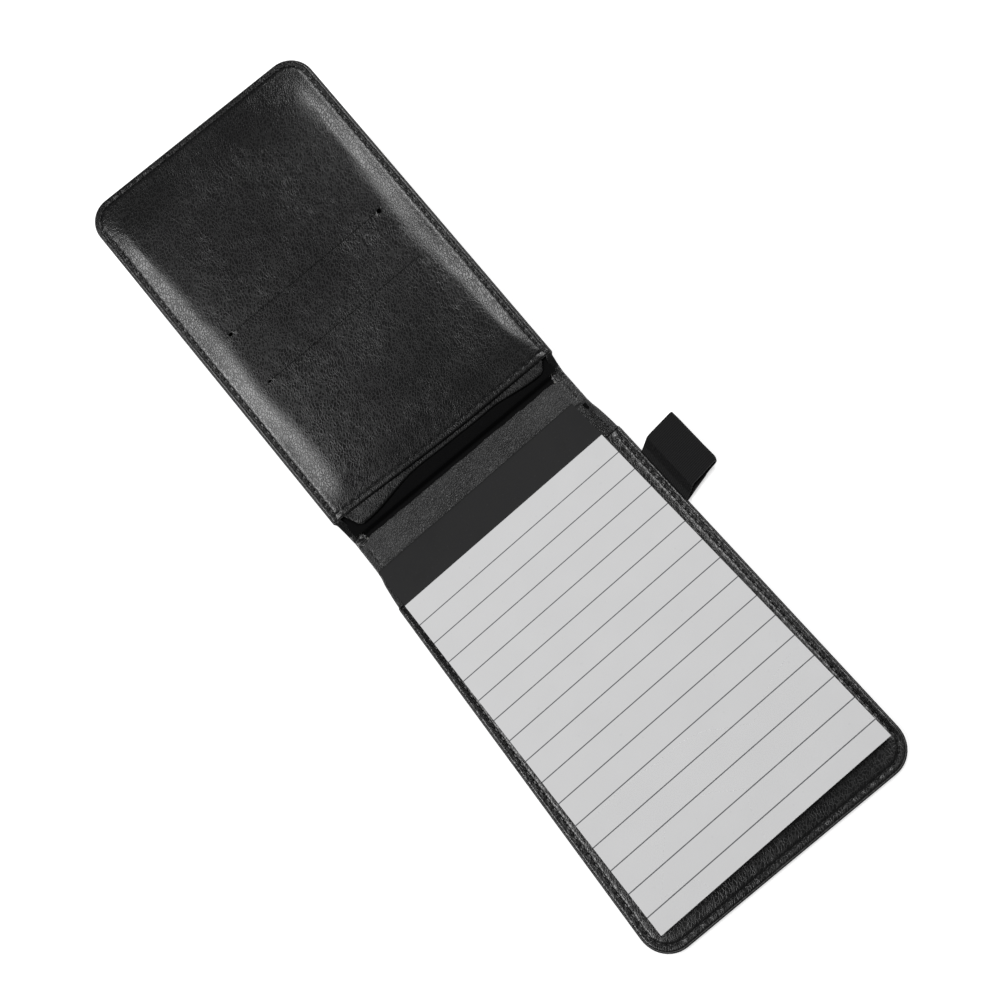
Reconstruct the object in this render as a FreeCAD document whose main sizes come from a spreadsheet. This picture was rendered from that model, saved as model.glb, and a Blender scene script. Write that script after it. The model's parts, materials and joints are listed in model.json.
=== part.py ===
import FreeCAD, Part
import math
import os
import re

import Sketcher

# A top-opening pocket notebook cover holding a memo pad, lying open on its back cover.
# Millimetres. +Z is up, +X runs to the side with the pen loop and +Y runs from the foot of the
# pad over the spine to the front cover. The origin is the centre of the back cover's underside.
#
# The pieces of a cover or of the spine are drawn in a leaf frame: its origin lies on the crease,
# +Y runs away from the crease and Z = 0 is the inner face of the outer skin. The pieces of the
# pad are drawn in a pad frame: its origin is the middle of the top of the writing area and Z = 0
# is the plane that the notebook lies on.

DIMENSIONS = [
    ("cover_width", 85.0),
    ("cover_length", 135.2),
    ("corner_radius", 8.5),
    ("skin_thickness", 0.5),
    ("board_thickness", 1.2),
    ("lining_thickness", 0.25),
    ("panel_thickness", 0.7),
    ("rim_width", 2.5),
    ("board_gap", 0.2),
    ("crease_gap", 0.05),
    ("fold_clear", 1.3),
    ("pocket_gap", 0.65),
    ("mouth_place", 14.75),
    ("facing_end", 11.0),
    ("facing_thickness", 0.35),
    ("spine_height", 11.5),
    ("spine_width", 82.5),
    ("spine_card_width", 76.0),
    ("spine_card_thickness", 0.4),
    ("spine_card_inset", 1.0),
    ("spine_lining_thickness", 0.15),
    ("spine_facing_length", 9.2),
    ("spine_inset", 0.3),
    ("crease_rest_angle", 9.0),
    ("hem_place", 5.4),
    ("lip_place", 3.2),
    ("backing_thickness", 0.4),
    ("bag_thickness", 0.2),
    ("bag_width", 64.0),
    ("bag_foot", 9.0),
    ("bag_overlap", 2.0),
    ("slit_length", 59.4),
    ("slit_width", 0.4),
    ("slit_hole_diameter", 2.4),
    ("lower_slit_place", 55.2),
    ("upper_slit_place", 74.6),
    ("stitch_inset", 2.2),
    ("stitch_pitch", 3.0),
    ("stitch_length", 2.1),
    ("stitch_width", 0.5),
    ("stitch_height", 0.25),
    ("hem_stitch_inset", 2.0),
    ("loop_width", 20.0),
    ("loop_place", 34.4),
    ("loop_reach", 13.6),
    ("loop_band", 0.9),
    ("loop_floor_gap", 0.05),
    ("loop_space", 4.6),
    ("loop_neck", 1.0),
    ("pad_width", 75.8),
    ("pad_left_shift", 1.6),
    ("pad_top_place", 50.9),
    ("pad_turn", 1.32),
    ("leaf_length", 111.75),
    ("head_length", 14.2),
    ("sheets_thickness", 4.6),
    ("leaf_thickness", 0.1),
    ("leaf_edge_gap", 0.1),
    ("glue_thickness", 0.2),
    ("tape_thickness", 0.15),
    ("tape_edge", 0.5),
    ("card_gap", 0.05),
    ("pad_card_thickness", 0.5),
    ("pad_card_step_start", 3.1),
    ("pad_card_step_end", 5.5),
]

# In a leaf frame, upright edges further than this from the crease are at its far corners.
FAR_SIDE = 5.0

doc = FreeCAD.newDocument("pocket_notebook")
sheet = doc.addObject("Spreadsheet::Sheet", "Dimensions")
for row, (alias, value) in enumerate(DIMENSIONS, start=1):
    sheet.set("A" + str(row), alias)
    sheet.set("B" + str(row), str(value))
    sheet.setAlias("B" + str(row), alias)
doc.recompute()


def bind(expression):
    """Write dimension names as references to the sheet."""
    return re.sub(r"[a-z_]{5,}", lambda word: "Dimensions." + word.group(), expression)


def number(expression):
    """The value of an expression of dimension names."""
    return float(sheet.evalExpression(expression))


# Heights above the inner face of the skin, in the leaf frame.
LINING_FLOOR = "board_thickness"
LINING_TOP = "board_thickness + lining_thickness"
BACK_PANEL_FLOOR = LINING_TOP + " + pocket_gap"
BACK_PANEL_TOP = BACK_PANEL_FLOOR + " + panel_thickness"
LOWER_BAG_FLOOR = LINING_TOP + " + backing_thickness"
UPPER_BAG_FLOOR = LOWER_BAG_FLOOR + " + bag_thickness"
FRONT_PANEL_FLOOR = UPPER_BAG_FLOOR + " + bag_thickness"
FRONT_PANEL_TOP = FRONT_PANEL_FLOOR + " + panel_thickness"
SPINE_LINING_FLOOR = "spine_card_thickness"
SPINE_FACING_FLOOR = "spine_card_thickness + spine_lining_thickness"
SPINE_TOP = SPINE_FACING_FLOOR + " + facing_thickness"

# Heights above the table, in the pad frame.
CARD_FLOOR = "skin_thickness + " + LINING_TOP + " + card_gap"
SHEETS_FLOOR = "skin_thickness + " + BACK_PANEL_TOP
CARD_HEAD_FLOOR = SHEETS_FLOOR + " - pad_card_thickness"
SHEETS_TOP = SHEETS_FLOOR + " + sheets_thickness"
LEAF_FLOOR = SHEETS_TOP + " - leaf_thickness"


def placed(x, y, z, axis, angle):
    """A placement expression: a shift, and a turn about one axis through the new origin."""
    shift = "create(<<vector>>; {}; {}; {})".format(bind(x), bind(y), bind(z))
    turn = "create(<<rotation>>; create(<<vector>>; {}); {})".format(axis, bind(angle))
    return "create(<<placement>>; {}; {})".format(shift, turn)


HALF_LENGTH = "cover_length / 2"
SPINE_TURN = "(crease_rest_angle * 1 deg)"
BACK = placed("0", HALF_LENGTH, "skin_thickness", "0; 0; 1", "180")
SPINE = placed("0", HALF_LENGTH, "skin_thickness", "1; 0; 0", "crease_rest_angle")
FRONT = placed(
    "0",
    HALF_LENGTH + " + spine_height * cos" + SPINE_TURN,
    "skin_thickness + spine_height * sin" + SPINE_TURN,
    "1; 0; 0",
    "2 * crease_rest_angle",
)
PAD = placed("- pad_left_shift", "pad_top_place", "0", "0; 0; 1", "pad_turn")
TABLE = placed("0", "0", "0", "0; 0; 1", "0")


def new_body(label, placement):
    """A sub-part: a body with its own label and placement."""
    body = doc.addObject("PartDesign::Body", label)
    body.Label = label
    body.setExpression("Placement", placement)
    return body


def new_sketch(body, name, role, height):
    """A sketch on one of the body's own origin planes, lifted by height."""
    sketch = body.newObject("Sketcher::SketchObject", body.Label + "_" + name)
    plane = [item for item in body.Origin.OriginFeatures if item.Role == role]
    sketch.AttachmentSupport = [(plane[0], "")]
    sketch.MapMode = "FlatFace"
    sketch.setExpression("AttachmentOffset.Base.z", bind(height))
    return sketch


def hold(sketch, name, expression, kind, *where):
    """Add a named distance to a sketch and drive it from the sheet."""
    index = sketch.addConstraint(Sketcher.Constraint(kind, *where, number(expression)))
    sketch.renameConstraint(index, name)
    sketch.setExpression("Constraints." + name, bind(expression))


def draw_box(sketch, left, right, near, far):
    """A rectangle whose four sides are measured from the sketch's origin."""
    x = (number(left), number(right))
    y = (number(near), number(far))
    corners = [(x[0], y[0]), (x[1], y[0]), (x[1], y[1]), (x[0], y[1])]
    points = [FreeCAD.Vector(a, b, 0) for a, b in corners]
    for i in range(4):
        sketch.addGeometry(Part.LineSegment(points[i], points[(i + 1) % 4]), False)
    for i in range(4):
        sketch.addConstraint(Sketcher.Constraint("Coincident", i, 2, (i + 1) % 4, 1))
    for i in (0, 2):
        sketch.addConstraint(Sketcher.Constraint("Horizontal", i))
        sketch.addConstraint(Sketcher.Constraint("Vertical", i + 1))
    hold(sketch, "left", left, "DistanceX", -1, 1, 0, 1)
    hold(sketch, "right", right, "DistanceX", -1, 1, 2, 1)
    hold(sketch, "near", near, "DistanceY", -1, 1, 0, 1)
    hold(sketch, "far", far, "DistanceY", -1, 1, 2, 1)


def draw_outline(sketch, corners, round_end=None):
    """A closed outline of straight sides; its last side is a half circle if a radius is given."""
    points = [FreeCAD.Vector(number(x), number(y), 0) for x, y in corners]
    for i, point in enumerate(points[:-1]):
        sketch.addGeometry(Part.LineSegment(point, points[i + 1]), False)
    last = len(points) - 1
    if round_end:
        middle = (points[0] + points[last]) / 2 + FreeCAD.Vector(number(round_end), 0, 0)
        closing = sketch.addGeometry(Part.Arc(points[0], middle, points[last]), False)
        sketch.addConstraint(Sketcher.Constraint("Coincident", closing, 1, 0, 1))
        sketch.addConstraint(Sketcher.Constraint("Coincident", closing, 2, last - 1, 2))
    else:
        closing = sketch.addGeometry(Part.LineSegment(points[last], points[0]), False)
        sketch.addConstraint(Sketcher.Constraint("Coincident", last - 1, 2, closing, 1))
        sketch.addConstraint(Sketcher.Constraint("Coincident", closing, 2, 0, 1))
    for i in range(last - 1):
        sketch.addConstraint(Sketcher.Constraint("Coincident", i, 2, i + 1, 1))
    places = [(i, 1) for i in range(last)] + [(last - 1, 2)]
    tag = str(sketch.GeometryCount)
    for i, (corner, place) in enumerate(zip(corners, places)):
        hold(sketch, "across_{}_{}".format(tag, i), corner[0], "DistanceX", -1, 1, *place)
        hold(sketch, "up_{}_{}".format(tag, i), corner[1], "DistanceY", -1, 1, *place)


def raise_pad(body, name, sketch, thickness):
    """Pad a sketch upwards by an expression."""
    pad = body.newObject("PartDesign::Pad", body.Label + "_" + name)
    pad.Profile = sketch
    pad.setExpression("Length", bind(thickness))
    sketch.Visibility = False
    doc.recompute()
    return pad


def sink_pocket(body, name, sketch, depth):
    """Pocket a sketch downwards by an expression, and see that it took something away."""
    before = body.Shape.Volume
    pocket = body.newObject("PartDesign::Pocket", body.Label + "_" + name)
    pocket.Profile = sketch
    pocket.setExpression("Length", bind(depth))
    doc.recompute()
    if body.Shape.Volume > before - 1e-6:
        raise RuntimeError(pocket.Label + " cuts nothing")
    return pocket


def round_corners(body, name, base, radius, wanted):
    """Fillet the upright edges for which wanted(x, y) is true."""
    names = []
    for i, edge in enumerate(base.Shape.Edges, start=1):
        ends = [vertex.Point for vertex in edge.Vertexes]
        upright = len(ends) == 2 and (ends[0] - ends[1]).cross(FreeCAD.Vector(0, 0, 1)).Length < 1e-6
        if upright and wanted(ends[0].x, ends[0].y):
            names.append("Edge" + str(i))
    fillet = body.newObject("PartDesign::Fillet", body.Label + "_" + name)
    fillet.Base = (base, names)
    fillet.setExpression("Radius", bind(radius))
    doc.recompute()
    return fillet


def sheet_piece(label, placement, width, near, far, floor, thickness, radius=None):
    """A flat piece, centred across its width, with its two far corners rounded if asked."""
    body = new_body(label, placement)
    sketch = new_sketch(body, "outline", "XY_Plane", floor)
    draw_box(sketch, "-(" + width + ") / 2", "(" + width + ") / 2", near, far)
    pad = raise_pad(body, "layer", sketch, thickness)
    if radius:
        middle = (number(near) + number(far)) / 2
        round_corners(body, "corners", pad, radius, lambda x, y: y > middle)
    return body


# Covers: an outer skin whose turned-in edge stands up as a rim round the stiffening board.

INNER_WIDTH = "cover_width - 2 * rim_width"
INNER_RADIUS = "corner_radius - rim_width"
BOARD_WIDTH = INNER_WIDTH + " - 2 * board_gap"
BOARD_END = "cover_length - rim_width - board_gap"
BOARD_RADIUS = INNER_RADIUS + " - board_gap"


def cover_skin(label, placement, rim_top):
    """The outer leather of one cover, with its edge turned in on three sides."""
    body = new_body(label, placement)
    sketch = new_sketch(body, "outline", "XY_Plane", "- skin_thickness")
    draw_box(sketch, "- cover_width / 2", "cover_width / 2", "crease_gap", "cover_length")
    pad = raise_pad(body, "slab", sketch, "skin_thickness + " + rim_top)
    fillet = round_corners(body, "corners", pad, "corner_radius", lambda x, y: y > FAR_SIDE)
    fillet.Visibility = False
    inside = new_sketch(body, "inside", "XY_Plane", rim_top)
    draw_box(
        inside,
        "-(" + INNER_WIDTH + ") / 2",
        "(" + INNER_WIDTH + ") / 2",
        "- 1",
        "cover_length - rim_width",
    )
    well = sink_pocket(body, "well", inside, rim_top)
    inner_half = number(INNER_WIDTH) / 2 + 0.01
    round_corners(
        body, "well_corners", well, INNER_RADIUS, lambda x, y: y > FAR_SIDE and abs(x) < inner_half
    )
    fold = new_sketch(body, "fold", "XY_Plane", rim_top)
    draw_box(fold, "- cover_width", "cover_width", "- 1", "fold_clear")
    sink_pocket(body, "fold_relief", fold, rim_top)
    return body


def back_outer_skin():
    body = cover_skin("back_outer_skin", BACK, BACK_PANEL_FLOOR)
    slot = new_sketch(body, "loop_slot", "XY_Plane", BACK_PANEL_FLOOR)
    draw_box(
        slot,
        "- cover_width",
        "- cover_width / 2 + rim_width + 1",
        "cover_length / 2 - loop_place - loop_width / 2",
        "cover_length / 2 - loop_place + loop_width / 2",
    )
    sink_pocket(body, "loop_slot_cut", slot, "loop_band")


def front_outer_skin():
    cover_skin("front_outer_skin", FRONT, FRONT_PANEL_FLOOR)


def cover_board(label, placement):
    """The stiff grey board inside a cover."""
    sheet_piece(
        label, placement, BOARD_WIDTH, "fold_clear", BOARD_END, "0", "board_thickness", BOARD_RADIUS
    )


def cover_lining(label, placement):
    """The thin smooth cloth over a board."""
    sheet_piece(
        label,
        placement,
        BOARD_WIDTH,
        "fold_clear",
        BOARD_END,
        LINING_FLOOR,
        "lining_thickness",
        BOARD_RADIUS,
    )


def back_pocket_panel():
    sheet_piece(
        "back_pocket_panel",
        BACK,
        "cover_width",
        "mouth_place",
        "cover_length",
        BACK_PANEL_FLOOR,
        "panel_thickness",
        "corner_radius",
    )


def head_facing():
    """Grained leather under the head of the pad, between the crease and the pocket mouth."""
    sheet_piece(
        "head_facing", BACK, BOARD_WIDTH, "fold_clear", "facing_end", LINING_TOP, "facing_thickness"
    )


# Spine: a narrow strip between the two creases.


def spine_piece(label, width, inset, end, floor, thickness):
    """One layer of the spine."""
    return sheet_piece(label, SPINE, width, inset, end, floor, thickness)


def spine_layers():
    spine_piece(
        "spine_outer_skin",
        "spine_width",
        "crease_gap",
        "spine_height - crease_gap",
        "- skin_thickness",
        "skin_thickness",
    )
    spine_piece(
        "spine_stiffener",
        "spine_card_width",
        "spine_card_inset",
        "spine_height - spine_card_inset",
        "0",
        "spine_card_thickness",
    )
    spine_piece(
        "spine_lining",
        "spine_width",
        "spine_inset",
        "spine_height - spine_inset",
        SPINE_LINING_FLOOR,
        "spine_lining_thickness",
    )
    spine_piece(
        "spine_facing",
        "spine_width",
        "spine_inset",
        "spine_facing_length",
        SPINE_FACING_FLOOR,
        "facing_thickness",
    )


# Front cover: a second leather layer, two card bags and the slit panel over them.


def pocket_backing():
    sheet_piece(
        "pocket_backing",
        FRONT,
        BOARD_WIDTH,
        "lip_place",
        BOARD_END,
        LINING_TOP,
        "backing_thickness",
        BOARD_RADIUS,
    )


def card_bag(label, slit, floor):
    """A thin cloth bag that hangs from a slit towards the spine."""
    sheet_piece(
        label, FRONT, "bag_width", "bag_foot", slit + " + bag_overlap", floor, "bag_thickness"
    )


def cut_slit(body, name, place):
    """A straight slit across the panel with a round hole at each end."""
    half = "slit_length / 2"
    sketch = new_sketch(body, name, "XY_Plane", FRONT_PANEL_TOP)
    draw_box(
        sketch, "- " + half, half, place + " - slit_width / 2", place + " + slit_width / 2"
    )
    sink_pocket(body, name + "_cut", sketch, "panel_thickness")
    for side, sign in (("left", "- "), ("right", "")):
        hole = new_sketch(body, name + "_" + side, "XY_Plane", FRONT_PANEL_TOP)
        centre = FreeCAD.Vector(number(sign + half), number(place), 0)
        radius = number("slit_hole_diameter") / 2
        hole.addGeometry(Part.Circle(centre, FreeCAD.Vector(0, 0, 1), radius), False)
        hold(hole, "across", sign + half, "DistanceX", -1, 1, 0, 3)
        hold(hole, "along", place, "DistanceY", -1, 1, 0, 3)
        hold(hole, "diameter", "slit_hole_diameter", "Diameter", 0)
        sink_pocket(body, name + "_" + side + "_cut", hole, "panel_thickness")


def front_pocket_panel():
    body = sheet_piece(
        "front_pocket_panel",
        FRONT,
        "cover_width",
        "hem_place",
        "cover_length",
        FRONT_PANEL_FLOOR,
        "panel_thickness",
        "corner_radius",
    )
    cut_slit(body, "lower_slit", "lower_slit_place")
    cut_slit(body, "upper_slit", "upper_slit_place")


# Stitches: short threads laid end to end, each a small solid of its own.


def stitch(x, y, floor, angle):
    """One visible thread of a seam, centred on its place and turned along the seam."""
    size = (number("stitch_length"), number("stitch_width"), number("stitch_height"))
    thread = Part.makeBox(*size, FreeCAD.Vector(-size[0] / 2, -size[1] / 2, 0))
    turn = FreeCAD.Rotation(FreeCAD.Vector(0, 0, 1), angle)
    thread.Placement = FreeCAD.Placement(FreeCAD.Vector(x, y, floor), turn)
    return thread


def seam_round_cover(start):
    """Places and directions of the stitches round three sides of a cover, in the leaf frame."""
    inset = number("stitch_inset")
    half = number("cover_width") / 2 - inset
    end = number("cover_length") - inset
    radius = number("corner_radius") - inset
    side = end - radius - start
    bend = radius * math.pi / 2
    across = 2 * (half - radius)
    total = 2 * side + 2 * bend + across
    count = int(total // number("stitch_pitch"))
    places = []
    for i in range(count):
        run = total * (i + 0.5) / count
        if run < side:
            places.append((-half, start + run, 90))
        elif run < side + bend:
            turn = (run - side) / radius
            x = -half + radius - radius * math.cos(turn)
            places.append((x, end - radius + radius * math.sin(turn), 90 - math.degrees(turn)))
        elif run < side + bend + across:
            places.append((-half + radius + run - side - bend, end, 0))
        elif run < side + 2 * bend + across:
            turn = (run - side - bend - across) / radius
            x = half - radius + radius * math.sin(turn)
            places.append((x, end - radius + radius * math.cos(turn), -math.degrees(turn)))
        else:
            places.append((half, start + total - run, -90))
    return places


def stitch_group(label, placement, threads):
    """A node of separate stitches; its placement is the same expression as its cover's."""
    group = doc.addObject("Part::Feature", label)
    group.Label = label
    group.Shape = Part.makeCompound(threads)
    group.setExpression("Placement", placement)


def back_edge_stitching():
    mouth = number("mouth_place")
    high = number(BACK_PANEL_TOP)
    low = number(BACK_PANEL_FLOOR)
    clear = number("stitch_length")
    threads = []
    for x, y, angle in seam_round_cover(number("fold_clear + stitch_pitch / 2")):
        if abs(y - mouth) > clear / 2:
            threads.append(stitch(x, y, high if y > mouth else low, angle))
    stitch_group("back_edge_stitching", BACK, threads)


def front_edge_stitching():
    start = number("hem_place + stitch_pitch / 2")
    top = number(FRONT_PANEL_TOP)
    threads = [stitch(x, y, top, angle) for x, y, angle in seam_round_cover(start)]
    stitch_group("front_edge_stitching", FRONT, threads)


def hem_stitching():
    reach = number("cover_width / 2 - 2 * stitch_inset")
    count = int(2 * reach // number("stitch_pitch"))
    place = number("hem_place + hem_stitch_inset")
    top = number(FRONT_PANEL_TOP)
    step = 2 * reach / count
    threads = [stitch(-reach + step * (i + 0.5), place, top, 0) for i in range(count)]
    stitch_group("hem_stitching", FRONT, threads)


def spine_edge_stitching():
    half = number("spine_width / 2 - stitch_inset")
    pitch = number("stitch_pitch")
    count = int(number("spine_facing_length - spine_inset") // pitch)
    top = number(SPINE_TOP)
    places = [number("spine_inset") + pitch * (i + 0.5) for i in range(count)]
    threads = [stitch(side * half, y, top, 90) for side in (-1, 1) for y in places]
    stitch_group("spine_edge_stitching", SPINE, threads)


# Pen loop: a flat elastic band, doubled back on itself and sewn into the right-hand seam.


def pen_loop():
    body = new_body("pen_loop", TABLE)
    sketch = new_sketch(body, "section", "XZ_Plane", "-(loop_place + loop_width / 2)")
    neck = "cover_width / 2 + loop_neck"
    anchor = "cover_width / 2 - rim_width"
    tab_top = "skin_thickness + " + BACK_PANEL_FLOOR
    tab_floor = tab_top + " - loop_band"
    floor = "loop_floor_gap"
    top = "loop_floor_gap + loop_space + 2 * loop_band"
    radius = "(loop_space / 2 + loop_band)"
    swell = neck + " + " + radius
    bend = "cover_width / 2 + loop_reach - " + radius
    draw_outline(
        sketch,
        [
            (bend, floor),
            (swell, floor),
            (neck, tab_floor),
            (anchor, tab_floor),
            (anchor, tab_top),
            (neck, tab_top),
            (swell, top),
            (bend, top),
        ],
        radius,
    )
    band = raise_pad(body, "band", sketch, "loop_width")
    space = new_sketch(body, "space", "XZ_Plane", "-(loop_place - loop_width / 2)")
    draw_outline(
        space,
        [
            (bend, floor + " + loop_band"),
            (swell, floor + " + loop_band"),
            (neck + " + loop_band", tab_top + " - loop_band / 2"),
            (swell, top + " - loop_band"),
            (bend, top + " - loop_band"),
        ],
        "(loop_space / 2)",
    )
    band.Visibility = False
    sink_pocket(body, "space_cut", space, "loop_width")


# Memo pad: a backing card that slides into the back pocket, glued sheets and a head tape.


def pad_profile(label, corners):
    """A piece of the pad with one section all across the pad's width."""
    body = new_body(label, PAD)
    sketch = new_sketch(body, "side", "YZ_Plane", "-pad_width / 2")
    draw_outline(sketch, corners)
    raise_pad(body, "length", sketch, "pad_width")


def pad_backing_card():
    """Stiff card, stepped up where it leaves the pocket."""
    head = "head_length + glue_thickness"
    low_top = CARD_FLOOR + " + pad_card_thickness"
    corners = [
        ("-leaf_length", CARD_FLOOR),
        ("pad_card_step_start", CARD_FLOOR),
        ("pad_card_step_end", CARD_HEAD_FLOOR),
        (head, CARD_HEAD_FLOOR),
        (head, SHEETS_FLOOR),
        ("pad_card_step_end", SHEETS_FLOOR),
        ("pad_card_step_start", low_top),
        ("-leaf_length", low_top),
    ]
    pad_profile("pad_backing_card", corners)


def pad_sheets():
    """The glued sheets, cut down over the writing area to make room for the top leaf."""
    body = sheet_piece(
        "pad_sheets", PAD, "pad_width", "- leaf_length", "head_length", SHEETS_FLOOR, "sheets_thickness"
    )
    sketch = new_sketch(body, "leaf", "XY_Plane", SHEETS_TOP)
    draw_box(sketch, "- pad_width", "pad_width", "- 2 * leaf_length", "tape_edge")
    sink_pocket(body, "leaf_cut", sketch, "leaf_thickness")


def top_sheet():
    sheet_piece(
        "top_sheet",
        PAD,
        "pad_width",
        "- leaf_length",
        "tape_edge - leaf_edge_gap",
        LEAF_FLOOR,
        "leaf_thickness",
    )


def pad_glue():
    sheet_piece(
        "pad_glue",
        PAD,
        "pad_width",
        "head_length",
        "head_length + glue_thickness",
        SHEETS_FLOOR,
        "sheets_thickness",
    )


def pad_head_tape():
    """Black tape folded over the glued head: along the top and down the end."""
    inner = "head_length + glue_thickness"
    outer = inner + " + tape_thickness"
    over = SHEETS_TOP + " + tape_thickness"
    corners = [
        ("tape_edge", SHEETS_TOP),
        (inner, SHEETS_TOP),
        (inner, CARD_HEAD_FLOOR),
        (outer, CARD_HEAD_FLOOR),
        (outer, over),
        ("tape_edge", over),
    ]
    pad_profile("pad_head_tape", corners)


def build():
    """Every sub-part, from the back cover to the front cover and then the pad."""
    back_outer_skin()
    cover_board("back_board", BACK)
    cover_lining("back_lining", BACK)
    head_facing()
    back_pocket_panel()
    back_edge_stitching()
    pen_loop()
    spine_layers()
    spine_edge_stitching()
    front_outer_skin()
    cover_board("front_board", FRONT)
    cover_lining("front_lining", FRONT)
    pocket_backing()
    card_bag("lower_card_bag", "lower_slit_place", LOWER_BAG_FLOOR)
    card_bag("upper_card_bag", "upper_slit_place", UPPER_BAG_FLOOR)
    front_pocket_panel()
    front_edge_stitching()
    hem_stitching()
    pad_backing_card()
    pad_sheets()
    top_sheet()
    pad_glue()
    pad_head_tape()
    doc.recompute()


def export():
    """Check every object, then write one STEP file for each sub-part."""
    for item in doc.Objects:
        if "Invalid" in item.State or "Error" in item.State:
            raise RuntimeError(item.Label + " did not recompute: " + str(item.State))
    pieces = [item for item in doc.Objects if item.TypeId in ("PartDesign::Body", "Part::Feature")]
    for piece in pieces:
        if piece.Shape.isNull() or not piece.Shape.isValid():
            raise RuntimeError(piece.Label + " has no valid shape")
    os.makedirs("parts", exist_ok=True)
    for piece in pieces:
        piece.Shape.exportStep("parts/" + piece.Label + ".step")
        print(piece.Label, round(piece.Shape.Volume, 2), "mm3")


build()
export()
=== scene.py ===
import json
import math
import random

import bmesh
import bpy
from bpy.props import FloatProperty, FloatVectorProperty, IntProperty, PointerProperty
from mathutils import Euler, Matrix, Vector, noise


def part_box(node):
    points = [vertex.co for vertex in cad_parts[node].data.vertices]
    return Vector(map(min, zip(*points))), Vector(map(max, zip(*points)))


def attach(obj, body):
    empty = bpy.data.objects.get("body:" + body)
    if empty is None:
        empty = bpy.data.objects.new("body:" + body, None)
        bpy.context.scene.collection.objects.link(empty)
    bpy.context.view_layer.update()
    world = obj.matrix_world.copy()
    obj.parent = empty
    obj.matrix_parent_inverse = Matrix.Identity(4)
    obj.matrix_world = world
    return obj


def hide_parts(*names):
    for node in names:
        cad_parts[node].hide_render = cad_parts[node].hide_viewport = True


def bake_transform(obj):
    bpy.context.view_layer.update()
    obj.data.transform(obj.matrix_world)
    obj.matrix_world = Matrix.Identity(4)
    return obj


bl_info = {
    "name": "Pocket notebook",
    "version": (1, 0, 0),
    "blender": (4, 5, 0),
    "location": "3D View > Sidebar > Notebook",
    "description": "Builds a leather pocket notebook with a ruled pad round its frame",
    "category": "Add Mesh",
}

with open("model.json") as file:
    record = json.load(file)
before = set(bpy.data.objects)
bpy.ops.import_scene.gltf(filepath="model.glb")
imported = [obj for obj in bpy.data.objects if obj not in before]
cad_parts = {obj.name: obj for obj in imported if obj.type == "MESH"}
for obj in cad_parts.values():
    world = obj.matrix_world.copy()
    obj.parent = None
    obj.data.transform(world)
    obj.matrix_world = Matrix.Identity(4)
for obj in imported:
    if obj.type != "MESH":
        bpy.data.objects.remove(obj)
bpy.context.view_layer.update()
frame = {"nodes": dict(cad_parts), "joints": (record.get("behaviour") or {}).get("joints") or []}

MM = 0.001
# Points closer than WELD are one point, and a place is reached within TOLERANCE.
WELD = 1e-7
TOLERANCE = 1e-6

# ---------------------------------------------------------------- places taken from the frame

JOINTS = {joint["name"]: joint for joint in frame["joints"]}
BACK_CREASE = Vector(JOINTS["spine_crease"]["pos_m"])
FRONT_CREASE = Vector(JOINTS["cover_crease"]["pos_m"])
PAGE_CREASE = Vector(JOINTS["leaf_flip"]["pos_m"])
PAGE_AXIS = Vector(JOINTS["leaf_flip"]["axis"])
SPINE_LENGTH = (FRONT_CREASE - BACK_CREASE).length
REST_FOLD = math.atan2(FRONT_CREASE.z - BACK_CREASE.z, FRONT_CREASE.y - BACK_CREASE.y)
PAD_TURN = math.atan2(-PAGE_AXIS.y, -PAGE_AXIS.x)

SKIN_LOW, SKIN_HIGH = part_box("back_outer_skin")
SPINE_LOW, SPINE_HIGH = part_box("spine_outer_skin")
PANEL_LOW, PANEL_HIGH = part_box("back_pocket_panel")
PAD_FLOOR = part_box("pad_sheets")[0].z
LOOP_LOW, LOOP_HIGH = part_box("pen_loop")
COVER_WIDTH = SKIN_HIGH.x - SKIN_LOW.x
COVER_LENGTH = BACK_CREASE.y - SKIN_LOW.y
NARROWING = 1 - (SPINE_HIGH.x - SPINE_LOW.x) / COVER_WIDTH
SKIN = BACK_CREASE.z - SKIN_LOW.z
BACK_RIM = SKIN_HIGH.z - BACK_CREASE.z
PANEL = PANEL_HIGH.z - PANEL_LOW.z
MOUTH = BACK_CREASE.y - PANEL_HIGH.y

# A leaf's own frame has its origin on the crease, +Y away from the crease and Z = 0 on the
# inner face of the outer leather.
BACK_LEAF = Matrix.Translation(BACK_CREASE) @ Matrix.Rotation(math.pi, 4, "Z")
SPINE_LEAF = Matrix.Translation(BACK_CREASE) @ Matrix.Rotation(REST_FOLD, 4, "X")
FRONT_LEAF = Matrix.Translation(FRONT_CREASE) @ Matrix.Rotation(2 * REST_FOLD, 4, "X")

# The pad's own frame has +Y towards its head and Y = 0 just below the binding tape.
TAPE_EDGE = 0.5 * MM
PAD = (
    Matrix.Translation((PAGE_CREASE.x, PAGE_CREASE.y, 0))
    @ Matrix.Rotation(PAD_TURN, 4, "Z")
    @ Matrix.Translation((0, -TAPE_EDGE, 0))
)

# A piece that crosses a crease bends over this distance on each side of it.
CREASE_REACH = 2.2 * MM
INTO_SPINE = SPINE_LEAF.to_3x3() @ Vector((0, CREASE_REACH, 0))
INTO_FRONT = FRONT_LEAF.to_3x3() @ Vector((0, CREASE_REACH, 0))

# ---------------------------------------------------------------- what a user may change


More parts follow.
